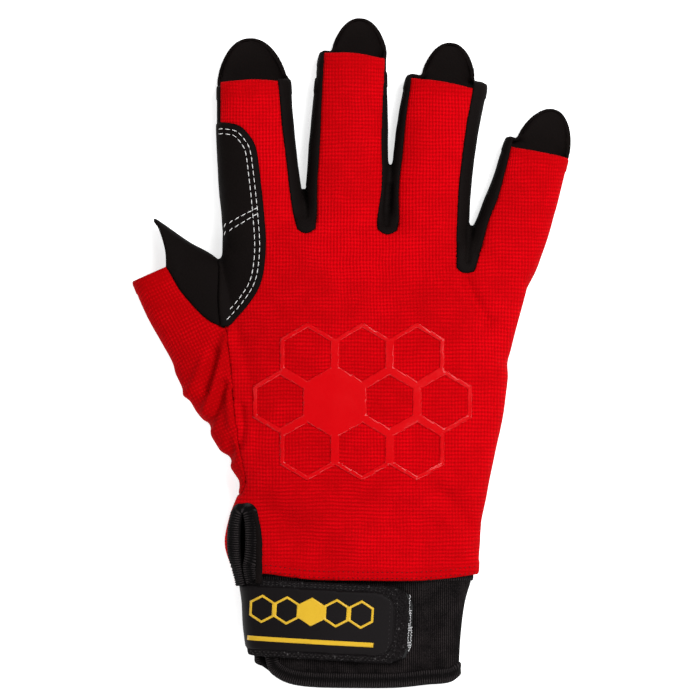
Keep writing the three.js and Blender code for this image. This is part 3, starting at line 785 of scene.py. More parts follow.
def mapped(piece, turn=0):
    """Cloth coordinates in millimetres: the plan, turned, and carried on down the sides."""
    straight = math.cos(math.radians(turn))
    slant = math.sin(math.radians(turn))
    shape = edited(piece)
    shape.normal_update()
    layer = shape.loops.layers.uv.new("cloth")
    for face in shape.faces:
        for loop in face.loops:
            point = loop.vert.co
            normal = loop.vert.normal
            down = max(0, CLOTH_LEVEL - point.z)
            across = point.x + max(-1, min(1, 1.6 * normal.x)) * down
            u = across * straight + point.y * slant
            v = point.y * straight - across * slant
            loop[layer].uv = (u, v)
    returned(shape, piece)
    return piece


def walled(piece, thickness, offset=-1):
    """The skin given its thickness; the inner face takes the second material."""
    for _ in range(2):
        piece.data.materials.append(None)
    wall = piece.modifiers.new("wall", "SOLIDIFY")
    wall.thickness = thickness
    wall.offset = offset
    wall.material_offset = 1
    return settled(piece)


def kept_inside(piece, surface, depth):
    """Inner faces that would stick out of the body, in a tight bend, set back under its surface."""
    verts = piece.data.vertices
    inner = set()
    for face in piece.data.polygons:
        if face.material_index:
            inner.update(face.vertices)
    for index in sorted(inner):
        point = verts[index].co
        nearest, normal = surface.find_nearest(point)[:2]
        if (nearest - point).dot(normal) < depth:
            verts[index].co = nearest - normal * depth


def finished(piece, node, slot, *finishes):
    """The piece in the row's frame, in metres, none of it under the floor, standing for its solid."""
    for vert in piece.data.vertices:
        vert.co.z = max(vert.co.z, FLOOR_GAP)
    piece.data.transform(Matrix.Scale(TO_METRES, 4) @ Matrix.Translation(ROW_SHIFT))
    piece.data.materials.clear()
    for finish in finishes:
        piece.data.materials.append(finish)
    for face in piece.data.polygons:
        face.use_smooth = True
    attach(piece, "root")
    if node:
        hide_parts(node)
    return piece


def made_up(piece, thickness, node, slot, outer, inner):
    """A skin given its cloth coordinates, its wall and its finishes."""
    mapped(piece)
    walled(piece, thickness)
    return finished(piece, node, slot, outer, inner)


# Plan outlines.
def side_seam(finger, side):
    """The line between a finger's back and its left or right side wall."""
    hand_side = "left" if side < 0 else "right"
    inset = finger[hand_side + "_side"] * finger["width"]
    opening = finger[hand_side + "_open"]
    seam = []
    for share in (1.5, 1, 0.75, 0.5, 0.28):
        across = finger_width(finger, share) / 2 - inset + opening * max(0, share * 2 - 1)
        seam.append(on_finger(finger, share * finger["length"], side * across))
    return seam


def fork_region(near, far, rise):
    """The side walls between two fingers, joined round the bottom of the fork."""
    down = side_seam(near, 1)
    up = side_seam(far, -1)
    root_near = on_finger(near, 0, near["width"] / 2)
    root_far = on_finger(far, 0, -far["width"] / 2)
    floor = (root_near + root_far) / 2
    floor.y += rise * BACK_LENGTH
    lean = math.radians((near["lean"] + far["lean"]) / 2)
    bottom = []
    for turn in (180, 225, 270, 315, 360):
        angle = math.radians(turn) - lean
        out = Vector((FORK_RADIUS * math.cos(angle), FORK_RADIUS * math.sin(angle)))
        bottom.append(floor + out)
    return spline([*down, *bottom, *reversed(up)], steps=78)


def finger_end(finger, ends):
    """All that lies past a finger's open end, whose line is moved at its left, middle and right."""
    far = finger["length"] + finger["tab"] * 2
    wide = finger["width"] * 0.75
    half = finger_width(finger, 1) * 0.44
    left, middle, right = [finger["length"] + shift for shift in ends]
    rows = ((left, -wide), (left, -half), (middle, 0), (right, half), (right, wide))
    line = spline([on_finger(finger, along, across) for along, across in rows], steps=24)
    return [*line, on_finger(finger, far, wide), on_finger(finger, far, -wide)]


def index_side():
    """Where the palm's leather climbs the index finger's outer side."""
    index = FINGERS[0]
    seam = side_seam(index, -1)
    low = index["length"] * 0.15
    corner = on_finger(index, low, -index["width"] / 2)
    top = on_finger(index, index["length"] * 1.5, -index["width"])
    return [top, *seam, corner, on_finger(index, low, -index["width"])]


def thumb_region(growth):
    """All of the thumb, up to the seam at its base."""
    seam = traced(on_hand, THUMB_BASE_SEAM[:-1], steps=66)
    corner = on_hand(THUMB_BASE_SEAM[-1])
    return [*beside(seam, -growth), corner, Vector((corner.x, seam[0].y))]


def thumb_leather():
    """The thumb's leather half, from its seam outwards."""
    seam = traced(on_thumb, THUMB_SEAM, steps=42)
    far = on_thumb((THUMB_SEAM[-1][0], 2))
    top = on_thumb((THUMB_SEAM[0][0], 2))
    return [*seam, far, top]


def thumb_cut():
    """All that lies past the thumb's open end."""
    arc = traced(on_thumb, THUMB_END[1:-1], steps=30)
    return [on_thumb(THUMB_END[0]), *arc, on_thumb(THUMB_END[-1])]


def keyhole(growth):
    """The round vent over the narrow slit that runs down through the cuff."""
    slit = [on_cuff(row) for row in SLIT_ROWS]
    vent_top = Vector((slit[0].x, slit[0].y + VENT_LENGTH))
    line = []
    for share in (0.15, 0.45, 0.8):
        wide = VENT_WIDTH / 2 * math.sin(math.pi * (0.25 + share * 0.5))
        line.append((vent_top.lerp(slit[0], share), wide))
    line += [(centre, SLIT_WIDTH / 2) for centre in slit]
    line = [(centre, max(wide + growth, NARROWEST_HALF)) for centre, wide in line]
    right = [Vector((centre.x + wide, centre.y)) for centre, wide in line]
    left = [Vector((centre.x - wide, centre.y)) for centre, wide in reversed(line)]
    tip = Vector((vent_top.x, vent_top.y + max(growth, growth * 0.2)))
    return spline([*left, tip, *right], steps=84)


def hem_cut(growth):
    """All that lies past the cuff's hem."""
    line = beside(traced(on_cuff, HEM_ROWS, steps=90), -growth)
    return [*line, Vector((line[-1].x, -FAR)), Vector((line[0].x, -FAR))]


def wrist_side(growth):
    """The hand's side of the wrist."""
    line = beside(wrist_line(), growth)
    left = Vector((-FAR, line[0].y))
    right = Vector((FAR, line[-1].y))
    return [left, *line, right, Vector((FAR, FAR)), Vector((-FAR, FAR))]


def tilted(point, pivot):
    return pivot + Matrix.Rotation(-math.radians(STRAP_TILT), 2) @ (Vector(point) - pivot)


def on_strap(x, y):
    """A place given along and across the strap, turned with it."""
    return tilted((x, y), Vector((-CUFF_WIDTH / 2, -STRAP_START)))


def strap_border(reach, gap):
    """A line inside the edge of a strap of that reach, along its top, round its end and back."""
    start = 1.5 - CUFF_WIDTH / 2
    top = -STRAP_START - gap
    bottom = -STRAP_START - STRAP_HEIGHT + gap
    end = reach - CUFF_WIDTH / 2 - gap
    corner = STRAP_HEIGHT * 0.2
    angles = [math.pi / 2 * turn / 6 for turn in range(7)]
    arc = [(corner * (1 - math.sin(angle)), corner * (1 - math.cos(angle))) for angle in angles]
    points = [(start, top), (end - corner, top)]
    points += [(end - first, top - second) for first, second in arc]
    points += [(end - second, bottom + first) for first, second in arc]
    return [on_strap(*point) for point in (*points, (start, bottom))]


def strap_region(reach, inset):
    """A strap of that reach, from beyond the cuff's left edge, each of its edges set in."""
    start = -CUFF_WIDTH / 2
    top = -STRAP_START - inset
    bottom = -STRAP_START - STRAP_HEIGHT + inset
    end = start + reach - inset
    corner = STRAP_HEIGHT * 0.22
    points = (
        (-FAR, top), (end - corner, top), (end - corner * 0.25, top - corner * 0.35),
        (end, top - corner), (end, bottom + corner), (end - corner * 0.3, bottom + corner * 0.3),
        (end - corner, bottom), (-FAR, bottom),
    )
    return [tilted(point, Vector((start, top))) for point in points]


# Surfaces and the lines on them.
def surface_of(*pieces):
    """The pieces' surface, to set things down on."""
    shape = bmesh.new()
    for piece in pieces:
        shape.from_mesh(piece.data)
    surface = BVHTree.FromBMesh(shape)
    shape.free()
    return surface


def set_down(surface, place):
    """The topmost point of a surface above a place in plan, and the way it faces, or None."""
    hit, normal = surface.ray_cast(Vector((place[0], place[1], FAR)), Vector((0, 0, -1)))[:2]
    return (hit, normal) if hit else None


def rim_loops(piece):
    """The open edges of a skin, each as a closed line of points."""
    shape = edited(piece)
    unseen = dict.fromkeys(vert for vert in shape.verts if vert.is_boundary)
    loops = []
    while unseen:
        vert = next(iter(unseen))
        del unseen[vert]
        loop = [vert.co.copy()]
        while vert:
            ways = [edge.other_vert(vert) for edge in vert.link_edges if edge.is_boundary]
            vert = next((other for other in ways if other in unseen), None)
            if vert:
                del unseen[vert]
                loop.append(vert.co.copy())
        loops.append(loop)
    shape.free()
    return loops


def run_near(loop, line, reach):
    """The longest stretch of a closed loop that stays near a line in plan."""
    points = np.array(loop)
    close = near_line(points, line) < reach
    far = np.flatnonzero(~close)
    turned = np.roll(np.arange(len(loop)), -int(far[0]))
    best = []
    stretch = []
    for index in turned:
        if close[index]:
            stretch.append(loop[index])
        else:
            stretch = []
        if len(stretch) > len(best):
            best = list(stretch)
    return best


def softened(rows, window, closed):
    """Rows of an array averaged with their neighbours."""
    reach = max(1, int(window))
    if closed:
        padded = np.concatenate([rows[-reach:], rows, rows[:reach]])
    else:
        first = 2 * rows[:1] - rows[reach:0:-1]
        last = 2 * rows[-1:] - rows[-2 : -reach - 2 : -1]
        padded = np.concatenate([first, rows, last])
    total = np.zeros_like(rows)
    for shift in range(2 * reach + 1):
        total += padded[shift : shift + len(rows)]
    return total / (2 * reach + 1)


def evenly(points, step, soften, closed):
    """A line's points again, at even distances, with its corners softened."""
    line = np.array(points)
    if closed:
        line = np.concatenate([line, line[:1]])
    for last in (False, True):
        run = np.concatenate([[0], np.cumsum(np.linalg.norm(np.diff(line, axis=0), axis=1))])
        count = int(run[-1] / step)
        places = np.linspace(0, run[-1], count + 1)
        line = np.stack([np.interp(places, run, line[:, axis]) for axis in range(3)], axis=1)
        if not last:
            body = line[:-1] if closed else line
            for _ in range(2):
                body = softened(body, soften / step / 2, closed)
            line = np.concatenate([body, body[:1]]) if closed else body
    return line[:-1] if closed else line


# Tapes, stitches, cords and films. The rows across an edge tape hold the share of its width, its height
# over the cloth, and how much its ribs show.
TAPE_PROFILE = (
    (0, 0.45, 0.8), (0.06, 0.8, 1), (0.2, 1, 1), (0.38, 0.92, 0.55), (0.55, 0.9, 0.35),
    (0.72, 0.95, 0.8), (0.88, 0.8, 1), (0.97, 0.35, 0.6), (1, -0.2, 0),
)
RIB_HEIGHT = 0.17
RIB_TWIST = 0.35
RIB_PITCH = 0.8
TAPE_STEP = 0.16
TAPE_ROUND = 0.55
BASE_WINDOW = 3
FACING_WINDOW = 9


def tape(name, line, surface, cloth, width, closed):
    """A ribbed tape along the open edge of a cloth, wrapped round it."""
    cloth_surface = surface_of(cloth)
    ways = np.roll(line, -1, axis=0) - np.roll(line, 1, axis=0)
    if not closed:
        ways[0] = line[1] - line[0]
        ways[-1] = line[-1] - line[-2]
    bases = np.zeros((len(line), len(TAPE_PROFILE), 3))
    facings = np.zeros_like(bases)
    sample = len(line) // 3
    point = Vector(line[sample])
    normal = surface.find_nearest(point)[1]
    way = normal.cross(Vector(ways[sample]).normalized())
    gaps = [cloth_surface.find_nearest(point + way * sign)[3] for sign in (1, -1)]
    side = 1 if gaps[0] < gaps[1] else -1
    for row, start in enumerate(line):
        here, normal = surface.find_nearest(Vector(start))[:2]
        way = normal.cross(Vector(ways[row]).normalized()) * side
        travelled = 0
        for column, (share, _, _) in enumerate(TAPE_PROFILE):
            advance = share * width - travelled
            travelled = share * width
            if advance:
                here, normal = surface.find_nearest(here + way.normalized() * advance)[:2]
                way = way - normal * way.dot(normal)
            bases[row, column] = here
            facings[row, column] = normal
    bases = softened(bases, BASE_WINDOW, closed)
    facings = softened(facings, FACING_WINDOW, closed)
    facings /= np.linalg.norm(facings, axis=2, keepdims=True)
    step = np.linalg.norm(line[1] - line[0])
    rings = []
    crests = KDTree(bases.shape[0] * bases.shape[1])
    shares = []
    for row in range(len(line)):
        outer = []
        inner = []
        for column, (share, high, ribbed) in enumerate(TAPE_PROFILE):
            rib = math.cos(math.tau * (row * step / RIB_PITCH + share * RIB_TWIST))
            base = Vector(bases[row, column])
            facing = Vector(facings[row, column])
            outer.append(base + facing * (high * EDGE_SWELL + RIB_HEIGHT * ribbed * rib))
            inner.append(base - facing * (WALL + 0.1 + max(high, 0.2) * 0.3))
            crests.insert(outer[-1], len(shares))
            shares.append(ribbed * (0.5 + 0.5 * rib))
        out = (Vector(bases[row, 0]) - Vector(bases[row, 2])).normalized()
        rings.append([(outer[0] + inner[0]) / 2 + out * TAPE_ROUND, *outer, *reversed(inner)])
    piece = tube(name, rings, closed)
    crests.balance()
    nearest = [crests.find(vert.co)[1] for vert in piece.data.vertices]
    layer = piece.data.attributes.new("crest", "FLOAT", "POINT")
    layer.data.foreach_set("value", [shares[index] for index in nearest])
    return piece


def stitches(name, rows, surface, size, gap, finish, slot, lift=0.0):
    """Rows of stitches along plan lines, each a small bead of length, width and height."""
    length, width, height = size
    shape = bmesh.new()
    for row in rows:
        run = 0.0
        due = length / 2
        for start, end in zip(row, row[1:]):
            span = (end - start).length
            while due <= run + span:
                place = start.lerp(end, (due - run) / span)
                due += length + gap
                found = set_down(surface, place)
                if not found:
                    continue
                point, normal = found
                along = Vector((*(end - start).normalized(), 0))
                along = (along - normal * along.dot(normal)).normalized()
                across = normal.cross(along)
                turn = Matrix((along, across, normal)).transposed().to_4x4()
                scale = Matrix.Diagonal((length / 2, width / 2, height, 1))
                spot = Matrix.Translation(point + normal * lift)
                bmesh.ops.create_uvsphere(
                    shape, u_segments=6, v_segments=4, radius=1, matrix=spot @ turn @ scale
                )
            run += span
    return finished(placed(name, shape), None, slot, finish)


def bead(name, line, surface, radius, finish, slot):
    """A thin raised cord along a plan line."""
    places = [found[0] for found in (set_down(surface, point) for point in line) if found]
    path = evenly(places, 0.5, soften=0.8, closed=False)
    rings = []
    for index, point in enumerate(path):
        way = Vector(path[min(index + 1, len(path) - 1)] - path[max(index - 1, 0)]).normalized()
        normal = surface.find_nearest(Vector(point))[1]
        across = way.cross(normal).normalized()
        up = across.cross(way)
        angles = [math.tau * turn / 8 for turn in range(8)]
        outward = [across * math.cos(angle) + up * math.sin(angle) for angle in angles]
        rings.append([Vector(point) + radius * out for out in outward])
    return finished(tube(name, rings), None, slot, finish)


FILM_STEP = 1.1
FILM_GAP = 0.03


def film(name, shape, thickness, surface, finish, slot):
    """A flat shape in plan laid on a surface as a thin film."""
    stray = []
    for vert in shape.verts:
        found = set_down(surface, vert.co)
        if found:
            vert.co = found[0] + found[1] * FILM_GAP
        else:
            stray.append(vert)
    bmesh.ops.delete(shape, geom=stray, context="VERTS")
    bmesh.ops.recalc_face_normals(shape, faces=shape.faces)
    piece = placed(name, shape)
    walled(piece, thickness, 1)
    return finished(piece, None, slot, finish, finish)


def cut_fine(shape, step):
    """The shape's faces divided until they can follow a rounded surface."""
    bmesh.ops.triangulate(shape, faces=shape.faces)
    for _ in range(6):
        long = [edge for edge in shape.edges if edge.calc_length() > step]
        if not long:
            break
        bmesh.ops.subdivide_edges(shape, edges=long, cuts=1, use_grid_fill=True)


def honeycomb(name, cells, filled, origin, radius, bar, tilt, thickness, surface, finish, slot):
    """Hexagons that share their bars, the filled ones solid; cells are columns and rows."""
    shape = bmesh.new()
    base = Matrix.Translation((*origin, 0)) @ Matrix.Rotation(-math.radians(tilt), 4, "Z")
    for column, row in (*cells, *filled):
        spot = base @ Matrix.Translation((column * radius * math.sqrt(3), row * radius * 1.5, 0))
        bmesh.ops.create_circle(shape, cap_ends=True, segments=6, radius=radius, matrix=spot)
    bmesh.ops.remove_doubles(shape, verts=shape.verts, dist=0.05)
    cells_made = list(shape.faces)
    bmesh.ops.inset_region(
        shape, faces=cells_made, thickness=bar / 2, use_boundary=True, use_outset=True,
        use_even_offset=True,
    )
    bmesh.ops.inset_individual(shape, faces=cells_made, thickness=bar / 2, use_even_offset=True)
    bmesh.ops.delete(shape, geom=cells_made[: len(cells)], context="FACES")
    cut_fine(shape, FILM_STEP)
    return film(name, shape, thickness, surface, finish, slot)


def strip(name, start, end, width, thickness, surface, finish, slot):
    """A straight bar of film."""
    way = (end - start).normalized()
    aside = Vector((-way.y, way.x)) * width / 2
    shape = bmesh.new()
    corners = [start - aside, end - aside, end + aside, start + aside]
    shape.faces.new([shape.verts.new((*corner, 0)) for corner in corners])
    cut_fine(shape, FILM_STEP)
    return film(name, shape, thickness, surface, finish, slot)


# Shader maths.
class Signal:
    """A number that varies over a surface. An expression on it adds its Math nodes."""

    def __init__(self, finish, socket):
        self.finish = finish
        self.socket = socket

    def math(self, operation, *others):
        return self.finish.maths(operation, self, *others)

    def __add__(self, other):
        return self.math("ADD", other)

    __radd__ = __add__

    def __mul__(self, other):
        return self.math("MULTIPLY", other)

    __rmul__ = __mul__

    def __sub__(self, other):
        return self.math("SUBTRACT", other)

    def __rsub__(self, other):
        return self * -1 + other

    def __truediv__(self, other):
        return self.math("DIVIDE", other)

    def __pow__(self, other):
        return self.math("POWER", other)

    def wave(self):
        """From 0 to 1 and back, once in each whole number."""
        return (self * math.tau).math("COSINE") * -0.5 + 0.5

    def within(self, low, high):
        """0 below low, 1 above high, smooth between."""
        values = {"Value": self, "From Min": low, "From Max": high}
        node = self.finish.node("MapRange", {"interpolation_type": "SMOOTHSTEP"}, values)
        return Signal(self.finish, node.outputs[0])

    def clamped(self):
        return self.math("MAXIMUM", 0.0).math("MINIMUM", 1.0)


class Finish:
    """A material, with its shader and whatever drives its colour, roughness and relief."""

    def __init__(self, name, colour, roughness, gloss, **constants):
        self.material = bpy.data.materials.new(name)
        self.material.use_nodes = True
        self.tree = self.material.node_tree
        self.shader = self.tree.nodes["Principled BSDF"]
        self.shader.inputs["Base Color"].default_value = (*colour, 1)
        self.shader.inputs["Roughness"].default_value = roughness
        self.shader.inputs["Specular IOR Level"].default_value = gloss
        for socket, value in constants.items():
            self.shader.inputs[socket.replace("_", " ")].default_value = value

    def node(self, kind, settings, values):
        made = self.tree.nodes.new("ShaderNode" + kind)
        for name, value in settings.items():
            setattr(made, name, value)
        named = values.items() if isinstance(values, dict) else enumerate(values)
        for key, value in named:
            self.feed(made.inputs[key], value)
        return made

    def feed(self, socket, value):
        if isinstance(value, Signal):
            value = value.socket
        if isinstance(value, bpy.types.NodeSocket):
            self.tree.links.new(value, socket)
        else:
            socket.default_value = value

    def maths(self, operation, *values):
        return Signal(self, self.node("Math", {"operation": operation}, values).outputs[0])

    def place(self):
        """Where a point is on the piece, in metres."""
        return self.node("TexCoord", {}, ()).outputs["Object"]

    def cloth(self):
        """Across and along the cloth, in millimetres."""
        spot = self.node("UVMap", {"uv_map": "cloth"}, ()).outputs[0]
        parts = self.node("SeparateXYZ", {}, (spot,))
        return Signal(self, parts.outputs[0]), Signal(self, parts.outputs[1])

    def grain(self, scale, detail=3.0, rough=0.5):
        """Noise from 0 to 1, with the scale in patches per metre."""
        values = {"Vector": self.place(), "Scale": scale, "Detail": detail, "Roughness": rough}
        return Signal(self, self.node("TexNoise", {}, values).outputs[0])

    def pebbles(self, scale):
        """The distance to the middle of the nearest pebble."""
        values = {"Vector": self.place(), "Scale": scale}
        return Signal(self, self.node("TexVoronoi", {}, values).outputs["Distance"])

    def share_of(self, name):
        """A share from 0 to 1 that is stored on the piece's points."""
        node = self.node("Attribute", {"attribute_name": name}, ())
        return Signal(self, node.outputs["Fac"])

    def blend(self, share, first, second):
        """A colour between two."""
        node = self.node("Mix", {"data_type": "RGBA"}, ())
        self.feed(node.inputs[0], share)
        for socket, colour in ((node.inputs[6], first), (node.inputs[7], second)):
            if isinstance(colour, tuple):
                colour = (*colour, 1)
            self.feed(socket, colour)
        return node.outputs[2]

    def colour(self, value):
        self.feed(self.shader.inputs["Base Color"], value)

    def roughness(self, value):
        self.feed(self.shader.inputs["Roughness"], value)

    def relief(self, height, distance, strength=1.0):
        """Bumps, with their height in metres."""
        values = {"Strength": strength, "Distance": distance, "Height": height}
        bump = self.node("Bump", {}, values)
        self.feed(self.shader.inputs["Normal"], bump.outputs[0])


# Colours.
RED_LIGHT = (0.68, 0.0003, 0.0042)
RED_DARK = (0.36, 0.0001, 0.0012)
RED_FILM = (0.56, 0.0001, 0.0022)
BLACK = (0.0038, 0.0026, 0.0024)
BLACK_WORN = (0.0088, 0.0064, 0.006)
CUFF_BLACK = (0.0025, 0.002, 0.0021)
CUFF_GREY = (0.036, 0.029, 0.029)
TAPE_GREY = (0.062, 0.052, 0.053)
YELLOW = (0.72, 0.455, 0.035)
WHITE = (0.95, 0.94, 0.93)
ROW_PITCH = 1.33
COLUMN_PITCH = 1.14


# Finishes.
def knit_finish(name, shade=0.0):
    """A fine red knit of rows and, towards the fingers, columns, plainer on its hems. A shade above 0
    darkens all of it as painted shade.
    """
    finish = Finish(name, RED_LIGHT, 0.9, 0.03)
    across, along = finish.cloth()
    hem = finish.share_of("hem")
    sway = finish.grain(140, 2.0) * 0.55
    rows = (along / ROW_PITCH + finish.grain(28, 2.0) * 2.6 + sway).wave()
    columns = (across / COLUMN_PITCH + finish.grain(26, 2.0) * 2.0 + sway).wave()
    patchy = finish.grain(38, 2.0).within(0.42, 0.66)
    slack = finish.grain(170, 2.0).within(0.3, 0.75)
    upward = along.within(20, 140)
    column_share = (patchy * 0.26 + upward * 0.24 + 0.06) * (1 - hem * 0.6)
    row_share = (slack * 0.36 - upward * 0.08 + 0.27) * (1 - hem * 0.4)
    lines = rows**0.9 * row_share + columns**1.2 * column_share
    dots = rows * columns
    fuzz = finish.grain(2300, 2.0)
    broad = finish.grain(24, 3.0)
    # The shade lowers the tone all over: painted shade, for a part that lies in shadow.
    tone = lines + dots * 0.14 + fuzz * 0.95 + broad * 0.2 + hem * 0.06 - 0.56 - shade
    finish.colour(finish.blend(tone.clamped(), RED_DARK, RED_LIGHT))
    finish.relief(lines * 0.8 + dots * 0.2 + fuzz * 0.4, 0.00025, 0.65)
    return finish.material


def suede_finish(name, worn=0.6):
    """Fine-grained black leather, a little greyer where it is rubbed."""
    finish = Finish(name, BLACK, 0.75, 0.03)
    nap = finish.grain(1500, 3.0)
    broad = finish.grain(55, 3.0)
    grain = finish.pebbles(1100)
    rubbed = (broad * worn + nap * 0.5 - 0.1).clamped()
    finish.colour(finish.blend(rubbed, BLACK, BLACK_WORN))
    finish.roughness(nap * 0.25 + 0.58)
    finish.relief(nap * 0.5 + grain * 0.5, 0.00018, 0.55)
    return finish.material


def lining_finish(name, dark, light):
    """The plain woven inside of the glove."""
    finish = Finish(name, dark, 0.9, 0.05)
    across, along = finish.cloth()
    weave = (along / 0.8).wave() * 0.5 + (across / 0.8).wave() * 0.5
    broad = finish.grain(60, 2.0)
    finish.colour(finish.blend((weave * 0.7 + broad * 0.4).clamped(), dark, light))
    finish.relief(weave, 0.00015, 0.5)
    return finish.material


def rib_finish(name):
    """Stretch cloth over foam, with fine upright ribs."""
    finish = Finish(name, CUFF_BLACK, 0.85, 0.04)
    across, along = finish.cloth()
    wander = finish.grain(110, 2.0) * 0.3
    ribs = (across / 0.72 + wander).wave()
    knots = (along / 0.55 + wander).wave()
    fuzz = finish.grain(2600, 2.0)
    patchy = finish.grain(140, 3.0).within(0.3, 0.7)
    tone = ribs * (patchy * 0.5 + 0.25) + knots * 0.15 + fuzz * 1.0 - 0.72
    finish.colour(finish.blend(tone.clamped(), CUFF_BLACK, CUFF_GREY))
    finish.relief(ribs * 0.6 + knots * 0.2 + fuzz * 0.4, 0.00025, 0.7)
    return finish.material


def tape_finish(name):
    """Elastic edge tape: its ribs are in the mesh, with a lighter thread on their crests."""
    finish = Finish(name, CUFF_BLACK, 0.7, 0.04)
    fuzz = finish.grain(2600, 2.0)
    crest = finish.share_of("crest")
    tone = crest * 0.8 + fuzz * 0.7 - 0.6
    finish.colour(finish.blend(tone.clamped(), CUFF_BLACK, TAPE_GREY))
    finish.relief(fuzz, 0.00015, 0.5)
    return finish.material


def loop_finish(name):
    """The strap's black loop cloth, with pale specks of fluff in it."""
    finish = Finish(name, CUFF_BLACK, 0.9, 0.04)
    curls = finish.pebbles(1700)
    fuzz = finish.grain(1900, 3.0)
    specks = finish.grain(1250, 1.0).within(0.66, 0.8)
    tone = curls * 0.6 + fuzz * 0.5 - 0.25
    base = finish.blend(tone.clamped(), CUFF_BLACK, (0.022, 0.019, 0.02))
    finish.colour(finish.blend(specks * 0.5, base, (0.16, 0.15, 0.15)))
    finish.relief(curls * 0.7 + fuzz * 0.6, 0.00035, 0.8)
    return finish.material


def label_finish(name):
    """Smooth black coated cloth."""
    finish = Finish(name, (0.0062, 0.0048, 0.0052), 0.5, 0.08)
    fine = finish.grain(2000, 3.0)
    broad = finish.grain(35, 2.0)
    finish.colour(finish.blend(broad, (0.0052, 0.004, 0.0044), (0.0078, 0.0062, 0.0066)))
    finish.roughness(fine * 0.12 + broad * 0.12 + 0.42)
    finish.relief(fine, 0.00006, 0.4)
    return finish.material


def film_finish(name, colour, shade):
    """Glossy printed film with a faint unevenness."""
    finish = Finish(name, colour, 0.22, 0.2)
    ripple = finish.grain(160, 2.0)
    fine = finish.grain(900, 2.0)
    finish.colour(finish.blend(ripple * 0.5 + fine * 0.3, colour, shade))
    finish.roughness(fine * 0.15 + 0.15)
    finish.relief(ripple * 0.8 + fine * 0.2, 0.00012, 0.4)
    return finish.material


def thread_finish(name, colour, shade):
    finish = Finish(name, colour, 0.65, 0.2)
    fibre = finish.grain(3600, 1.0)
    finish.colour(finish.blend(fibre, shade, colour))
    finish.relief(fibre, 0.0001, 0.5)
    return finish.material


RED_KNIT = knit_finish("red_knit")
# The thumb's knit is the same knit darkened all over: painted shade, for the thumb lying in the hand's
# shadow and sloping away from the key light.
THUMB_KNIT_PAINTED_SHADE = knit_finish("thumb_knit", 0.3)
BLACK_SUEDE = suede_finish("black_suede")
PATCH_SUEDE = suede_finish("patch_suede", 0.4)
RED_LINING = lining_finish("red_lining", (0.12, 0.001, 0.002), (0.26, 0.002, 0.003))
BLACK_LINING = lining_finish("black_lining", (0.004, 0.0038, 0.0038), (0.01, 0.009, 0.009))
THUMB_SUEDE = suede_finish("thumb_suede", 0.1)
TAB_LINING = suede_finish("tab_lining", 1.0)
CUFF_RIB = rib_finish("cuff_rib")
RIBBED_TAPE = tape_finish("ribbed_tape")
STRAP_LOOP = loop_finish("strap_loop")
SMOOTH_LABEL = label_finish("smooth_label")
HOOK_TAPE = thread_finish("hook_tape", (0.02, 0.02, 0.021), (0.008, 0.008, 0.008))
WHITE_THREAD = thread_finish("white_thread", WHITE, (0.75, 0.74, 0.73))
GREY_THREAD = thread_finish("grey_thread", (0.05, 0.045, 0.045), (0.012, 0.011, 0.011))
RED_THREAD = thread_finish("red_thread", (0.2, 0.0004, 0.001), (0.09, 0.0001, 0.0004))
# Near white as painted highlight: the glints on the hooks, not the hooks' own colour.
HOOK_PAINTED_HIGHLIGHT = thread_finish("hook_white", (0.95, 0.95, 0.96), (0.6, 0.6, 0.61))
PRINT_RED = film_finish("print_red", RED_FILM, (0.62, 0.0004, 0.003))
PRINT_YELLOW = film_finish("print_yellow", YELLOW, (0.62, 0.36, 0.018))

# The hand with its fingers and thumb, and the cuff, as closed bodies.
limbs = [limb("hand", hand_sections()), limb("thumb", thumb_sections())]
limbs += [limb(finger["name"], finger_sections(finger)) for finger in FINGERS]
hand = creased(fused("hand", limbs, HAND_SMOOTHING))
hand_surface = surface_of(hand)

# Cutters. The vent is narrower than its solid's, because its tape fills in towards the middle. The side
# walls show a little past the knit's ends.
VENT_FILL = -1.2
TAPE_WIDTH = 5.2
SIDE_SHOW = 0.8
cuff_middle = STRAP_STACK + CUFF_HEIGHT * SIDE_SHARE
seam_low = block("seam_low", high=SEAM_HEIGHT)
seam_high = block("seam_high", low=SEAM_HEIGHT)
above_wrist = prism("above_wrist", wrist_side(0))
thumb_part = prism("thumb_part", thumb_region(0))
thumb_front_part = prism("thumb_front_part", thumb_leather())
thumb_end = prism("thumb_end", thumb_cut())
index_end = prism("index_end", finger_end(FINGERS[0], (0, 0, 0)))
knit_ends = []
side_ends = []
for finger in FINGERS:
    knit_ends.append(prism("knit_" + finger["name"], finger_end(finger, finger["ends"])))
    side_ends.append(prism("side_" + finger["name"], finger_end(finger, (SIDE_SHOW,) * 3)))
forks = []
for near, far, rise in zip(FINGERS, FINGERS[1:], FORK_RISES):
    forks.append(prism(f"fork_{near['name']}_{far['name']}", fork_region(near, far, rise)))
vent_opening = prism("vent_opening", keyhole(VENT_FILL + TAPE_WIDTH * 0.5), cuff_middle)
side_climb = prism("side_climb", index_side())
side_strip = combined("side_strip", side_climb, "DIFFERENCE", index_end)
palm_part = combined("palm_part", seam_low, "UNION", side_strip)
thumb_leather_part = combined("thumb_leather_part", seam_low, "UNION", thumb_front_part)


def panel(name, node, slot, keeps, drops, outer, inner, turn=0):
    """A cloth part of the hand: its skin, seams, wall and finishes."""
    piece = skin(name, hand, keeps, drops)
    rolled(piece, SEAM_DEPTH, SEAM_REACH)
    if name == "palm_leather":
        flatten_tabs(piece)
    mapped(piece, turn)
    walled(piece, WALL)
    kept_inside(piece, hand_surface, WALL / 2)
    mark_hems(piece)
    return finished(piece, node, slot, outer, inner)


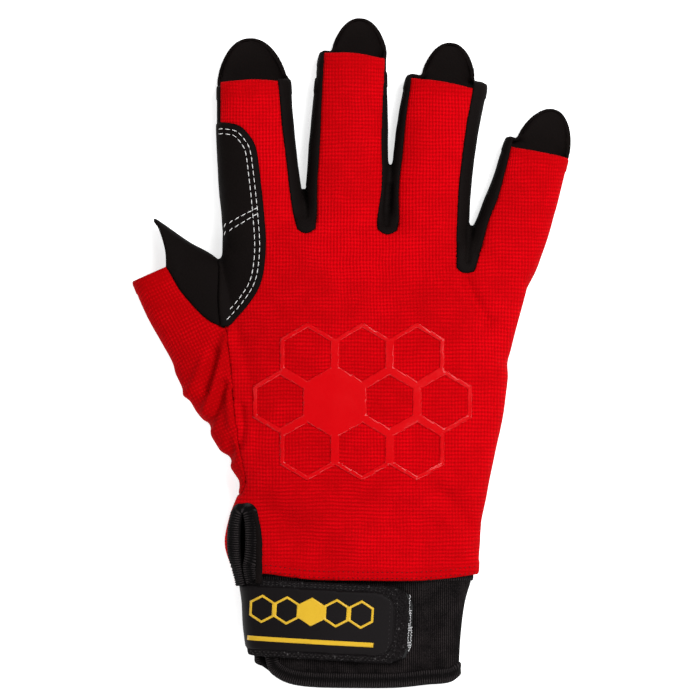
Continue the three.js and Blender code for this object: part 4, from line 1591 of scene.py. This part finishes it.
panel(
    "back_knit", "back_panel", "knit_back",
    (seam_high, above_wrist),
    (*forks, *knit_ends, thumb_part, side_climb, vent_opening),
    RED_KNIT, RED_LINING,
)
for fork, part in zip(forks, ("index_middle", "middle_ring", "ring_little")):
    panel(
        "side_" + part, "fourchette_" + part, "leather_side",
        (fork, seam_high), side_ends, BLACK_SUEDE, BLACK_LINING,
    )
panel(
    "thumb_knit", "thumb_back", "knit_thumb",
    (thumb_part, seam_high, above_wrist),
    (thumb_front_part, thumb_end),
    THUMB_KNIT_PAINTED_SHADE, RED_LINING, THREAD_TURN,
)
panel(
    "palm_leather", "palm_panel", "leather_palm",
    (palm_part, above_wrist),
    (thumb_part, vent_opening),
    BLACK_SUEDE, TAB_LINING,
)
panel(
    "thumb_leather", "thumb_front", "leather_thumb",
    (thumb_part, thumb_leather_part, above_wrist),
    (thumb_end,),
    THUMB_SUEDE, TAB_LINING,
)

# The patch on the index finger's outer side, with its two rows of stitches and a double cross row.
CROSS_ROWS = (
    ((-45.3, 123.5), (-39, 127), (-33.2, 130)),
    ((-45.3, 120.7), (-39, 124.4), (-33, 128)),
)
patch_line = traced(on_hand, PATCH_OUTLINE, steps=80)
patch_side = [on_hand(row) for row in ((-0.49, 0.74), (-0.49, 1.322))]
patch_part = prism("patch_part", [*patch_line, *patch_side])
patch = skin("patch", hand, (patch_part, seam_high), (prism("under_patch", thumb_region(-1.3)),))
moved_out(patch, PATCH_THICKNESS + 0.25, sideways=0.25)
rolled(patch, depth=0.55, reach=0.9)
mapped(patch)
walled(patch, PATCH_THICKNESS)
patch_surface = surface_of(patch)
patch_rows = [beside(patch_line, 2.3)[:80], beside(patch_line, 4.0)[:77]]
patch_rows += [[Vector(point) for point in row] for row in CROSS_ROWS]
finished(patch, "index_patch", "leather_patch", PATCH_SUEDE, BLACK_LINING)
stitches(
    "patch_stitches", patch_rows, patch_surface, size=(2.1, 0.3, 0.22), gap=0.35,
    finish=WHITE_THREAD, slot="leather_patch",
)

# Two rows of red stitches along the wrist hem.
hem_rows = []
for gap in (0.9, 3.0):
    hem_rows.append([point for point in beside(wrist_line(), -gap) if -30.5 < point.x < 44])
stitches(
    "wrist_stitches", hem_rows, hand_surface, size=(0.8, 0.3, 0.16), gap=0.9,
    finish=RED_THREAD, slot="knit_back", lift=0.05,
)

# The cuff, and the tapes round its hem and slit and round the vent.
cuff_body = fused("cuff_body", [limb("cuff_body", cuff_sections())], CUFF_SMOOTHING)
cuff_surface = surface_of(cuff_body)
inside_tuck = block("inside_tuck", ahead=TUCK - 0.6)
hem_line = prism("hem_line", hem_cut(EDGE_WIDTH * 0.5))
cuff_slit = prism("cuff_slit", keyhole(EDGE_WIDTH * 0.5), cuff_middle)
cuff = skin("cuff_cloth", cuff_body, (inside_tuck,), (hem_line, cuff_slit))
made_up(cuff, 1.4, "cuff", "neoprene_cuff", CUFF_RIB, BLACK_LINING)

hem_edge_line = prism("hem_edge_line", hem_cut(0))
slit_edge = prism("slit_edge", keyhole(0), cuff_middle)
edge_skin = skin("edge_skin", cuff_body, (inside_tuck,), (hem_edge_line, slit_edge))
hem_loop = min(rim_loops(edge_skin), key=lambda loop: min(point.y for point in loop))
hem_path = evenly(hem_loop, TAPE_STEP, soften=2.4, closed=True)
hem_tape = tape("hem_tape", hem_path, cuff_surface, edge_skin, EDGE_WIDTH, closed=True)
finished(hem_tape, "hem_edge", "ribbed_edge", RIBBED_TAPE)

wrist_low = prism("wrist_low", wrist_side(1.5))
vent_hole = prism("vent_hole", keyhole(VENT_FILL), cuff_middle)
vent_skin = skin("vent_skin", hand, (wrist_low,), (vent_hole,))
vent_loop = max(rim_loops(vent_skin), key=len)
vent_run = run_near(vent_loop, keyhole(VENT_FILL), reach=0.35)
vent_path = evenly(vent_run, TAPE_STEP, soften=1.0, closed=False)
vent_tape = tape("vent_tape", vent_path, hand_surface, vent_skin, TAPE_WIDTH, closed=False)
finished(vent_tape, "vent_edge", "ribbed_edge", RIBBED_TAPE)

# A smooth black facing over the outer edge of the vent's tape, on the side of the knit.
FACING_INNER = ((-35.2, 24.2), (-34.5, 22.5), (-33.9, 20), (-33.5, 16), (-33.5, 8), (-33.6, -1))
FACING_OUTER = (
    (-31.15, -1), (-31.1, 12.2), (-31.6, 18.0), (-32.6, 22.2), (-33.8, 24.6), (-34.8, 25.3),
)
facing_outline = [*spline(FACING_INNER, steps=20), *spline(FACING_OUTER, steps=20)]
facing_part = prism("facing_part", facing_outline, cuff_middle)
facing = skin("vent_facing", hand, (facing_part,))
moved_out(facing, distance=1.0)
rolled(facing, depth=0.45, reach=0.8)
made_up(facing, 1.0, None, "ribbed_edge", BLACK_SUEDE, BLACK_LINING)

# The strap, its label and its hook pad.
strap_part = combined(
    "strap_part",
    prism("strap_top", strap_region(STRAP_REACH, 0), cuff_middle),
    "UNION",
    prism("strap_low", strap_region(STRAP_RETURN, 0), high=cuff_middle + 0.01),
)
strap = skin("strap", cuff_layer("strap_body", growth=STRAP_STACK - 0.1), (strap_part,))
rolled(strap, depth=0.7, reach=1.1)

label_edge = strap_region(STRAP_REACH - LABEL_MARGIN, LABEL_MARGIN)
label_part = prism("label_part", label_edge, cuff_middle)
label = skin("label", cuff_layer("label_body", growth=STRAP_STACK + 0.45), (label_part,))
rolled(label, depth=0.4, reach=0.7)
label_surface = surface_of(label)
strap_surface = surface_of(strap, label)
made_up(label, 0.7, "strap_label", "smooth_label", SMOOTH_LABEL, BLACK_LINING)
made_up(strap, 1.7, "wrist_strap", "strap_cloth", STRAP_LOOP, BLACK_LINING)

hook_start = STRAP_REACH - CUFF_WIDTH / 2 - HOOK_LENGTH
hook_part = prism("hook_part", strap_region(STRAP_REACH + HOOK_SHOW, 0.6), cuff_middle)
hook_area = block("hook_area", left=hook_start)
hooks = skin("hook_base", cuff_layer("hook_body", growth=1.1), (hook_part, hook_area))
hook_surface = surface_of(hooks)
rolled(hooks, depth=0.3, reach=0.5)
made_up(hooks, 0.8, "hook_pad", "hook_tape", HOOK_TAPE, HOOK_TAPE)

# Hooks in columns along the strap's free end, more of them towards the hem, coloured near white as
# painted highlight for the glints on the hooks.
HOOK_COLUMNS = 4
HOOK_ROWS = 36
hook_rows = []
for column in range(HOOK_COLUMNS):
    for row in range(HOOK_ROWS):
        down = (row + 0.5) / HOOK_ROWS
        sparse = math.sin(row * 12.9 + column * 78.2) < -0.6
        if column > down * 4.2 or sparse:
            continue
        x = STRAP_REACH - CUFF_WIDTH / 2 - 0.1 + column * 0.5 + down * 0.2
        y = -STRAP_START - 2.6 - down * (STRAP_HEIGHT - 6)
        centre = on_strap(x + 0.12 * math.sin(row * 2.4), y)
        hook_rows.append([centre + Vector((-0.24, 0)), centre + Vector((0.24, 0.05))])
stitches(
    "hook_tips", hook_rows, hook_surface, size=(0.5, 0.42, 0.5), gap=1.0,
    finish=HOOK_PAINTED_HIGHLIGHT, slot="hook_tape", lift=0.3,
)

# Two rows of stitches round the strap and over the label's end, and a bead on the label's edge.
borders = [strap_border(STRAP_REACH - 3.2, 0.9), strap_border(STRAP_REACH - 5.0, 1.7)]
stitches(
    "strap_stitches", borders, strap_surface, size=(0.8, 0.26, 0.2), gap=0.7,
    finish=GREY_THREAD, slot="strap_cloth",
)
label_rim = strap_border(STRAP_REACH - LABEL_MARGIN, LABEL_MARGIN + 0.5)
bead("label_bead", label_rim, label_surface, radius=0.2, finish=SMOOTH_LABEL, slot="smooth_label")

# The prints: a honeycomb in glossy red film over the back, and a yellow one with a line on the label.
BACK_OPEN = ((0.5, 0), (1.5, 0), (2.5, 0), (0, 1), (2, 1), (3, 1), (0.5, 2), (1.5, 2), (2.5, 2))
BACK_FILLED = ((1, 1),)
honeycomb(
    "back_print", BACK_OPEN, BACK_FILLED, origin=Vector((-25, 46)), radius=11, bar=3.1, tilt=0,
    thickness=0.25, surface=hand_surface, finish=PRINT_RED, slot="knit_back",
)
LABEL_OPEN = ((0, 0), (1, 0), (3, 0), (4, 0))
LABEL_FILLED = ((2, 0),)
honeycomb(
    "label_print", LABEL_OPEN, LABEL_FILLED, origin=Vector((-31.4, -9.8)), radius=5, bar=1.6,
    tilt=STRAP_TILT, thickness=0.08, surface=label_surface, finish=PRINT_YELLOW, slot="smooth_label",
)
strip(
    "label_line", on_strap(-35.4, -19.8), on_strap(8.6, -19.8), width=1.6, thickness=0.08,
    surface=label_surface, finish=PRINT_YELLOW, slot="smooth_label",
)

# Cutters and bodies aren't part of the glove.
for helper in list(bpy.context.scene.objects):
    if helper.type == "MESH" and not helper.get("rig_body"):
        removed(helper)

# Floor and studio light.
FLOOR_SIZE = 6
floor_shape = bmesh.new()
bmesh.ops.create_grid(floor_shape, x_segments=1, y_segments=1, size=FLOOR_SIZE / 2)
floor = placed("floor", floor_shape)
glow = {"Emission_Strength": 0.68, "Emission_Color": (1, 1, 1, 1)}
floor_finish = Finish("floor", (0.9, 0.9, 0.9), 0.95, 0.0, **glow)
floor.data.materials.append(floor_finish.material)

world = bpy.data.worlds.new("studio")
world.use_nodes = True
background = world.node_tree.nodes["Background"]
background.inputs["Color"].default_value = (1, 1, 1, 1)
background.inputs["Strength"].default_value = 0.13
bpy.context.scene.world = world


def softbox(name, place, size, power):
    light = bpy.data.objects.new(name, bpy.data.lights.new(name, "AREA"))
    light.data.size = size
    light.data.energy = power
    light.location = place
    light.rotation_euler = (-Vector(place)).to_track_quat("-Z", "Y").to_euler()
    bpy.context.scene.collection.objects.link(light)


softbox("key", (0.66, 0.54, 1.24), size=0.8, power=22)
softbox("fill_left", (-1.0, 0.5, 1.1), size=0.9, power=3)
softbox("fill_near", (0.4, -1.0, 1.1), size=0.9, power=8.5)
softbox("fill_low", (-0.7, -0.9, 1.0), size=0.9, power=3)
